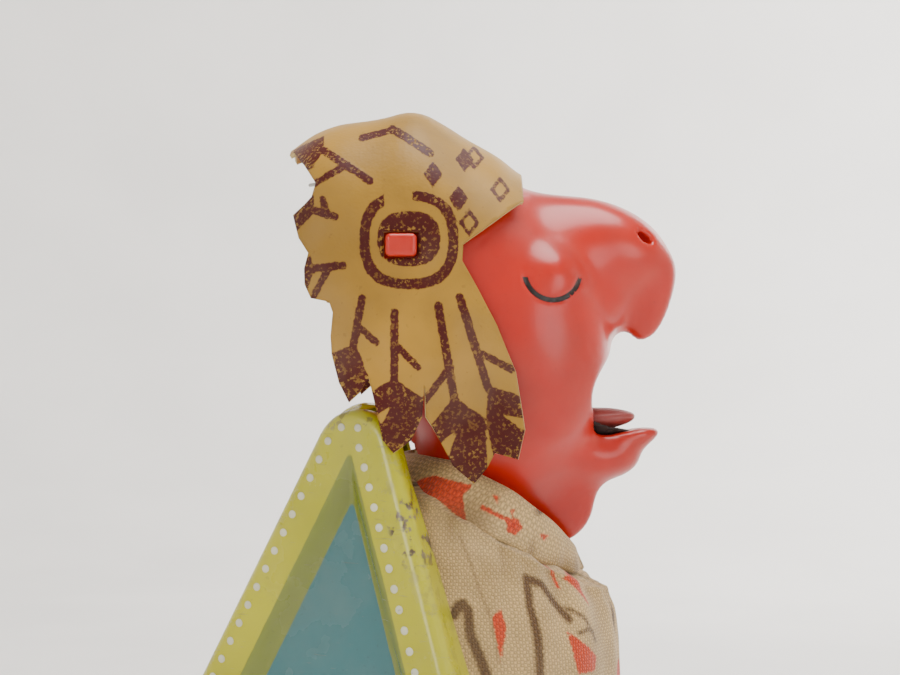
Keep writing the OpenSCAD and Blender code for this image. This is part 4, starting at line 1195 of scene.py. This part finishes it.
def make_wings(s):
    """Both wings, with their rolled edges, sunk panels and rows of raised dots."""
    rings, inner, worn = wing_shell()
    n = rings.shape[1]
    flat = rings.reshape(-1, 3)
    on_face = np.clip((inner - 3) / 3, 0, 1)
    dent = 0.16 * noise(flat * (1, 0.2, 1), 17, 4) * on_face + 0.05 * noise(flat, 6, 9) * on_face
    line = stroke(flat[:, [0, 2]], [(7, -22), (11, -44), (13, -58)], 0)
    dent += 0.28 * np.exp(-((line / 1.6) ** 2)) * on_face
    flat = flat + dent[:, None] * (0, 1, 0)
    middle = flat[-n:].mean(0)
    points = from_wing(np.vstack([flat, middle]))
    faces = [f[::-1] for f in grid_faces(len(rings), n, True)]
    last = (len(rings) - 1) * n
    faces += [(last + (i + 1) % n, last + i, last + n) for i in range(n)]
    a, b, c = points[faces[-1][0]], points[faces[-1][1]], points[faces[-1][2]]
    if np.cross(b - a, c - a) @ np.array([-0.5, -0.866, 0]) < 0:
        faces = [f[::-1] for f in faces]
    material = tin_material(s)
    xz, out = ring_at(3.3)
    far, _ = ring_at(6.6)
    share = np.clip((out[:, 0] - 0.3) / 0.5, 0, 1)[:, None]
    dots = xz * (1 - share) + far * share
    dots = np.column_stack([dots[:, 0], np.full(len(dots), -2.03), dots[:, 1]])
    white = plain("Dots", tuple(s.dots), 0.4, grime=0.5)
    for side, name in ((-1, "right"), (1, "left")):
        p, f = (points, faces) if side < 0 else mirrored(points, faces)
        wing = piece(name.capitalize() + " wing", p, f, material, name + "_wing",
                     ["wing_" + name])
        attribute(wing, "inward_mm", np.append(inner, 20))
        attribute(wing, "worn", np.append(worn, 0))
        thicken(wing, 0.00045).modifiers[0].use_even_offset = False
        q = from_wing(dots)
        q = q if side < 0 else q * (1, -1, 1)
        source = outline_object("Dot line " + name, place(q))
        nodes = dot_nodes()
        outward = (-0.5, -0.866, 0) if side < 0 else (-0.5, 0.866, 0)
        row = converted(source, nodes, {"Spacing": s.dot_gap, "Size": s.dot_size, "Outward": outward,
                                        "Material": white}, "Dots " + name, white)
        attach(row, name + "_wing")
    make_ears(material)


def dot_nodes():
    """Geometry nodes that lay low round dots along a line of edges."""
    if "Row of dots" in bpy.data.node_groups:
        return bpy.data.node_groups["Row of dots"]
    nodes = bpy.data.node_groups.new("Row of dots", "GeometryNodeTree")
    face = nodes.interface
    face.new_socket("Geometry", in_out="INPUT", socket_type="NodeSocketGeometry")
    for label, kind in (("Spacing", "NodeSocketFloat"), ("Size", "NodeSocketFloat"),
                        ("Outward", "NodeSocketVector"),
                        ("Material", "NodeSocketMaterial")):
        face.new_socket(label, in_out="INPUT", socket_type=kind)
    face.new_socket("Geometry", in_out="OUTPUT", socket_type="NodeSocketGeometry")
    i, o = nodes.nodes.new("NodeGroupInput").outputs, nodes.nodes.new("NodeGroupOutput").inputs
    curve = put(nodes, "GeometryNodeMeshToCurve", {"Mesh": i["Geometry"]})
    spaced = put(nodes, "GeometryNodeCurveToPoints", {"Curve": curve.outputs[0], "Length": i["Spacing"]},
                 mode="LENGTH")
    ball = put(nodes, "GeometryNodeMeshUVSphere", {"Radius": 0.5, "Segments": 20, "Rings": 8})
    turn = put(nodes, "FunctionNodeAlignRotationToVector", {"Vector": i["Outward"]}, axis="Z")
    size = put(nodes, "ShaderNodeCombineXYZ", {"X": i["Size"], "Y": i["Size"], "Z": 0.0003})
    laid = put(nodes, "GeometryNodeInstanceOnPoints", {"Points": spaced.outputs["Points"],
                                                       "Instance": ball.outputs["Mesh"],
                                                       "Rotation": turn.outputs[0],
                                                       "Scale": size.outputs[0]})
    real = put(nodes, "GeometryNodeRealizeInstances", {0: laid.outputs[0]})
    smooth = put(nodes, "GeometryNodeSetShadeSmooth", {0: real.outputs[0]})
    done = put(nodes, "GeometryNodeSetMaterial",
               {"Geometry": smooth.outputs[0], "Material": i["Material"]})
    nodes.links.new(done.outputs[0], o[0])
    return nodes


def make_ears(material):
    """The curled ears behind each wing that turn on its pin."""
    def ear(p):
        pipe = np.maximum(np.hypot(p[:, 1], p[:, 2]) - 2, 1.03 - np.hypot(p[:, 1], p[:, 2]))
        web = np.maximum(np.abs(p[:, 2] + 0.2) - 1.8, np.maximum(-p[:, 1] - 3.2, p[:, 1] + 0.6))
        both = np.minimum(pipe, np.maximum(web, 1.03 - np.hypot(p[:, 1], p[:, 2])))
        return np.maximum(both, np.abs(np.abs(p[:, 0] + 0.0) - 5.0) - 0.6)
    points, faces = net(ear, (-6.2, -3.8, -2.6), (6.2, 2.6, 2.6), 0.3)
    p = points + (-7.2, -23.8, 150)
    c, s = math.cos(-WING_TURN), math.sin(-WING_TURN)
    p = np.column_stack([p[:, 0] * c - p[:, 1] * s, p[:, 0] * s + p[:, 1] * c, p[:, 2]])
    for side, name in ((-1, "right"), (1, "left")):
        q, f = (p, faces) if side < 0 else mirrored(p, faces)
        obj = piece("Ears " + name, q, f, material, name + "_wing")
        attribute(obj, "inward_mm", np.zeros(len(q)))
        attribute(obj, "worn", np.full(len(q), 0.5))


# ---- Feet ----


def make_feet(s):
    """Pressed feet with ridged toes, claws and the lug that each leg is riveted to."""
    heel = (-12, 16.8)
    toes = [(32, 17), (23, 31), (23, 5.5), (-27, 17)]

    def foot(p):
        f = capsule(p * (1, 1, 1.6), (heel[0], heel[1], 0), (heel[0] + 0.01, heel[1], 0), 5.6, 5.6)
        for x, y in toes:
            d = np.array([x - heel[0], y - heel[1]]) / math.hypot(x - heel[0], y - heel[1])
            q = p * (1, 1, 1.45)
            f = join(f, capsule(q, (*heel, 0), (x, y, 0), 3.6, 2.9), 1.5)
            for t in (0.45, 0.72, 0.97):
                m = np.array(heel) + (np.array((x, y)) - heel) * t
                f = join(f, np.linalg.norm(q - (*m, 0.6), axis=1) - 3.0 + 0.3 * t, 0.8)
            tip = np.array((x, y)) + d * 1.2
            f = join(f, capsule(p, (*tip, 1.1), (*(tip + d * 1.4), 0.7), 1.3, 0.6), 0.4)
        lug = np.abs(p - (-12, 17.0, 5.6)) - (4.0, 0.55, 5.9)
        lug = np.linalg.norm(np.maximum(lug, 0), axis=1) + np.minimum(lug.max(1), 0) - 0.06
        f = join(f, lug, 0.4)
        gap = np.maximum(np.abs(p[:, 1] - 15.56) - 0.86,
                         np.maximum(np.abs(p[:, 0] + 12) - 4.2, 3.0 - p[:, 2]))
        f = np.maximum(f, -gap)
        for z in (4.5, 9):
            f = np.maximum(f, 0.95 - np.hypot(p[:, 0] + 12 + (z - 6) * 0.2, p[:, 2] - z))
        return np.maximum(f, 0.02 - p[:, 2])
    points, faces = net(foot, (-33, 0, -0.8), (38, 37, 12.5), 0.55)
    material = plain("Painted foot", tuple(s.legs), 0.32, grime=0.7, coat=0.4)
    for side, name in ((1, "left"), (-1, "right")):
        p, f = (points, faces) if side > 0 else mirrored(points, faces)
        piece("Foot " + name, p, f, material, "legs", ["foot_" + name])


# ---- Finishes of the frame's own parts ----

STEEL = ("base_plate", "frame_plate_left", "frame_plate_right", "frame_pillars", "neck_post",
         "wing_bracket_left",
         "wing_bracket_right", "bracket_rivets", "hood_staples", "neck_pin", "wing_pin_left",
         "wing_pin_right",
         "hip_axle", "foot_rivets", "leg_spring", "winding_arbor", "click_spring", "second_arbor",
         "crank_shaft",
         "governor_arbor", "governor_fan", "stop_lever", "stop_lever_rivet")
DARK = ("pillar_screws", "mainspring", "nod_lever", "ratchet_wheel", "click_pawl", "nod_cam",
        "crank_left",
        "crank_right")
BRASS = ("great_wheel", "second_pinion", "second_wheel", "crank_pinion", "third_wheel",
         "governor_pinion")


def feather_tin(s):
    """Body tin printed with rows of feather edges."""
    material, tree, shader = surface("Feather tin",
                                     {"IOR": 1.5, "Coat Weight": 0.5, "Coat Roughness": 0.1})
    at = object_place(tree)
    xyz = put(tree, "ShaderNodeSeparateXYZ", {0: at}).outputs
    turn = maths(tree, "MULTIPLY", maths(tree, "ARCTAN2",
                                         maths(tree, "SUBTRACT", xyz[1], AXIS[1] / 1000),
                                            maths(tree, "SUBTRACT", xyz[0], AXIS[0] / 1000)),
                 22 / (2 * math.pi))
    row = maths(tree, "MULTIPLY", xyz[2], 1000 / 6)
    odd = maths(tree, "MULTIPLY", maths(tree, "MODULO", maths(tree, "FLOOR", row), 2), 0.5)
    u = maths(tree, "SUBTRACT", maths(tree, "FRACT", maths(tree, "ADD", turn, odd)), 0.5)
    v = maths(tree, "FRACT", row)
    bow = maths(tree, "MULTIPLY", maths(tree, "MULTIPLY", u, u), 3)
    edge = maths(tree, "ABSOLUTE", maths(tree, "SUBTRACT", v, maths(tree, "ADD", bow, 0.12)))
    line = maths(tree, "SUBTRACT", 1, ramp(tree, edge, 0.05, 0.11))
    out = use(tree, grime_group(), {"Colour": mixed(tree, line, tuple(s.tin), tuple(s.feather)),
                                    "Strength": 0.6,
                                    "Roughness": 0.25})
    tree.links.new(out["Colour"], shader.inputs["Base Color"])
    tree.links.new(out["Roughness"], shader.inputs["Roughness"])
    bump(tree, shader, out["Height"], 0.03)
    return material


def finish_frame(s):
    """Gives every shown CAD node its finish, with crisp edges and smooth curves."""
    sets = {plain("Plated steel", tuple(s.steel), 0.32, 1.0, 0.35, (1, 1, 12)): STEEL,
            plain("Blued steel", tuple(s.dark), 0.36, 1.0, 0.3, (1, 12, 1)): DARK,
            plain("Stamped brass", tuple(s.brass), 0.3, 1.0, 0.3, (1, 12, 1)): BRASS,
            plain("Worn nickel", tuple(s.nickel), 0.24, 1.0, 0.5): ("key",),
            plain("Painted leg", tuple(s.legs), 0.32, 0.0, 0.7, coat=0.4): ("leg_left", "leg_right"),
            feather_tin(s): ("torso_left", "torso_right")}
    for material, names in sets.items():
        for name in names:
            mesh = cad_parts[name].data
            mesh.materials.clear()
            mesh.materials.append(material)
            mesh.polygons.foreach_set("use_smooth", [True] * len(mesh.polygons))
            mesh.set_sharp_from_angle(angle=math.radians(28))


# ---- Stage ----


def make_stage(s):
    """Floor and backdrop in one bowl, soft lights, pale surroundings and the camera."""
    profile = [(0.0, 0.0), (s.radius, 0.0)]
    for a in range(10, 91, 8):
        r = math.radians(a)
        profile.append((s.radius + 0.6 * math.sin(r), 0.6 * (1 - math.cos(r))))
    profile.append((s.radius + 0.6, 1.9))
    points = [(0, 0, 0)]
    for r, z in profile[1:]:
        points += [(r * math.cos(2 * math.pi * i / s.sides), r * math.sin(2 * math.pi * i / s.sides), z)
                   for i in range(s.sides)]
    faces = [(0, 1 + i, 1 + (i + 1) % s.sides) for i in range(s.sides)]
    for k in range(len(profile) - 2):
        a, b = 1 + k * s.sides, 1 + (k + 1) * s.sides
        faces += [(a + i, b + i, b + (i + 1) % s.sides, a + (i + 1) % s.sides) for i in range(s.sides)]
    mesh = bpy.data.meshes.new("Backdrop")
    mesh.from_pydata(points, [], faces)
    mesh.polygons.foreach_set("use_smooth", [True] * len(mesh.polygons))
    floor = bpy.data.objects.new("Backdrop", mesh)
    bpy.context.scene.collection.objects.link(floor)
    material, tree, shader = surface("Backdrop paper", {"Roughness": 0.8, "Specular IOR Level": 0.2})
    at = object_place(tree)
    fibre = put(tree, "ShaderNodeTexNoise", {"Vector": at, "Scale": 8, "Detail": 4}).outputs[0]
    tint = mixed(tree, ramp(tree, fibre, 0.2, 0.8), tuple(s.floor), tuple(c * 0.93 for c in s.floor))
    tree.links.new(tint, shader.inputs["Base Color"])
    mesh.materials.append(material)
    for name, at, look, size, power, tint in (
            ("Overhead", (0.2, 0.0, 1.25), (0, 0, 0.12), 0.9, 18.0, (1, 0.985, 0.96)),
            ("Front left", (-0.75, -0.95, 0.55), (0, 0, 0.13), 0.5, 3.4, (1, 0.99, 0.97)),
            ("Front right", (0.8, -0.7, 0.35), (0, 0, 0.13), 0.6, 2.4, (0.98, 0.99, 1)),
            ("Behind", (0.7, 0.9, 0.8), (0.4, 1.4, 0.3), 0.8, 20.0, (1, 1, 1))):
        lamp = bpy.data.lights.new(name, "AREA")
        lamp.shape, lamp.size, lamp.energy, lamp.color = "DISK", size, power * s.light, tint
        obj = bpy.data.objects.new(name, lamp)
        bpy.context.scene.collection.objects.link(obj)
        obj.location = at
        obj.rotation_euler = (Vector(look) - Vector(at)).to_track_quat("-Z", "Y").to_euler()
    world = bpy.data.worlds.new("Pale room")
    bpy.context.scene.world = world
    world.use_nodes = True
    world.node_tree.nodes["Background"].inputs[0].default_value = (0.95, 0.96, 1.0, 1)
    world.node_tree.nodes["Background"].inputs[1].default_value = 0.36
    lens = bpy.data.cameras.new("Camera")
    lens.lens, lens.sensor_width = 80, 36
    lens.clip_start, lens.clip_end = 0.01, 20
    camera = bpy.data.objects.new("Camera", lens)
    bpy.context.scene.collection.objects.link(camera)
    camera.location = ((AXIS[0] - 2) / 1000, AXIS[1] / 1000 - 0.4, 0.17)
    camera.rotation_euler = (math.pi / 2, 0, 0)
    bpy.context.scene.camera = camera


# ---- Operators ----


class CHICKEN_OT_finishes(bpy.types.Operator):
    """Finish every part of the frame that stays in sight"""

    bl_idname = "chicken.finishes"
    bl_label = "Metal and tin finishes"
    bl_options = {"REGISTER", "UNDO"}

    def execute(self, context):
        s = context.scene.chicken_metal
        finish_frame(s)
        return {"FINISHED"}


class CHICKEN_OT_head(bpy.types.Operator):
    """Build both halves of the moulded head"""

    bl_idname = "chicken.head"
    bl_label = "Head"
    bl_options = {"REGISTER", "UNDO"}

    def execute(self, context):
        s = context.scene.chicken_head
        make_head(s)
        return {"FINISHED"}


class CHICKEN_OT_mouth(bpy.types.Operator):
    """Build the mouth's lining and the tongue"""

    bl_idname = "chicken.mouth"
    bl_label = "Mouth and tongue"
    bl_options = {"REGISTER", "UNDO"}

    def execute(self, context):
        s = context.scene.chicken_head
        make_mouth(s)
        return {"FINISHED"}


class CHICKEN_OT_hood(bpy.types.Operator):
    """Build the printed hood"""

    bl_idname = "chicken.hood"
    bl_label = "Hood"
    bl_options = {"REGISTER", "UNDO"}

    def execute(self, context):
        s = context.scene.chicken_hood
        make_hood(s)
        return {"FINISHED"}


class CHICKEN_OT_tabs(bpy.types.Operator):
    """Build the tabs that hold the hood on the head"""

    bl_idname = "chicken.tabs"
    bl_label = "Hood tabs"
    bl_options = {"REGISTER", "UNDO"}

    def execute(self, context):
        s = context.scene.chicken_hood
        make_tabs()
        return {"FINISHED"}


class CHICKEN_OT_smock(bpy.types.Operator):
    """Build the printed smock and the stitches along its hem"""

    bl_idname = "chicken.smock"
    bl_label = "Smock"
    bl_options = {"REGISTER", "UNDO"}

    def execute(self, context):
        s = context.scene.chicken_cloth
        make_stitches(s, make_smock(s))
        return {"FINISHED"}


class CHICKEN_OT_collar(bpy.types.Operator):
    """Build the folded collar"""

    bl_idname = "chicken.collar"
    bl_label = "Collar"
    bl_options = {"REGISTER", "UNDO"}

    def execute(self, context):
        s = context.scene.chicken_cloth
        make_collar(s)
        return {"FINISHED"}


class CHICKEN_OT_wings(bpy.types.Operator):
    """Build both tin wings, their ears and their dots"""

    bl_idname = "chicken.wings"
    bl_label = "Wings"
    bl_options = {"REGISTER", "UNDO"}

    def execute(self, context):
        s = context.scene.chicken_wing
        make_wings(s)
        return {"FINISHED"}


class CHICKEN_OT_feet(bpy.types.Operator):
    """Build the pressed feet"""

    bl_idname = "chicken.feet"
    bl_label = "Feet"
    bl_options = {"REGISTER", "UNDO"}

    def execute(self, context):
        s = context.scene.chicken_metal
        make_feet(s)
        return {"FINISHED"}


class CHICKEN_OT_stage(bpy.types.Operator):
    """Build the floor, backdrop, lights and camera"""

    bl_idname = "chicken.stage"
    bl_label = "Stage"
    bl_options = {"REGISTER", "UNDO"}

    def execute(self, context):
        s = context.scene.chicken_stage
        make_stage(s)
        return {"FINISHED"}


OPERATORS = (CHICKEN_OT_finishes, CHICKEN_OT_head, CHICKEN_OT_mouth, CHICKEN_OT_hood,
             CHICKEN_OT_tabs, CHICKEN_OT_smock, CHICKEN_OT_collar, CHICKEN_OT_wings,
             CHICKEN_OT_feet, CHICKEN_OT_stage)
SETTINGS = {"chicken_head": HeadSettings, "chicken_hood": HoodSettings, "chicken_cloth": ClothSettings,
            "chicken_wing": WingSettings, "chicken_metal": MetalSettings, "chicken_stage": StageSettings}


class CHICKEN_PT_panel(bpy.types.Panel):
    """Every piece of the chicken, with its settings"""

    bl_label = "Wind-up hopping chicken"
    bl_idname = "CHICKEN_PT_panel"
    bl_space_type = "VIEW_3D"
    bl_region_type = "UI"
    bl_category = "Chicken"

    def draw(self, context):
        for op in OPERATORS:
            self.layout.operator(op.bl_idname)
        for name, kind in SETTINGS.items():
            box = self.layout.box()
            box.label(text=name.split("_")[1].capitalize())
            for item in kind.__annotations__:
                box.prop(getattr(context.scene, name), item)


CLASSES = (*SETTINGS.values(), *OPERATORS, CHICKEN_PT_panel)


def register():
    for kind in CLASSES:
        bpy.utils.register_class(kind)
    for name, kind in SETTINGS.items():
        setattr(bpy.types.Scene, name, PointerProperty(type=kind))


def unregister():
    for name in SETTINGS:
        delattr(bpy.types.Scene, name)
    for kind in reversed(CLASSES):
        bpy.utils.unregister_class(kind)


def main():
    register()
    for op in OPERATORS:
        run = getattr(bpy.ops.chicken, op.bl_idname.split(".")[1])
        if run() != {"FINISHED"}:
            raise RuntimeError(op.bl_label + " didn't finish")


if __name__ == "__main__":
    main()
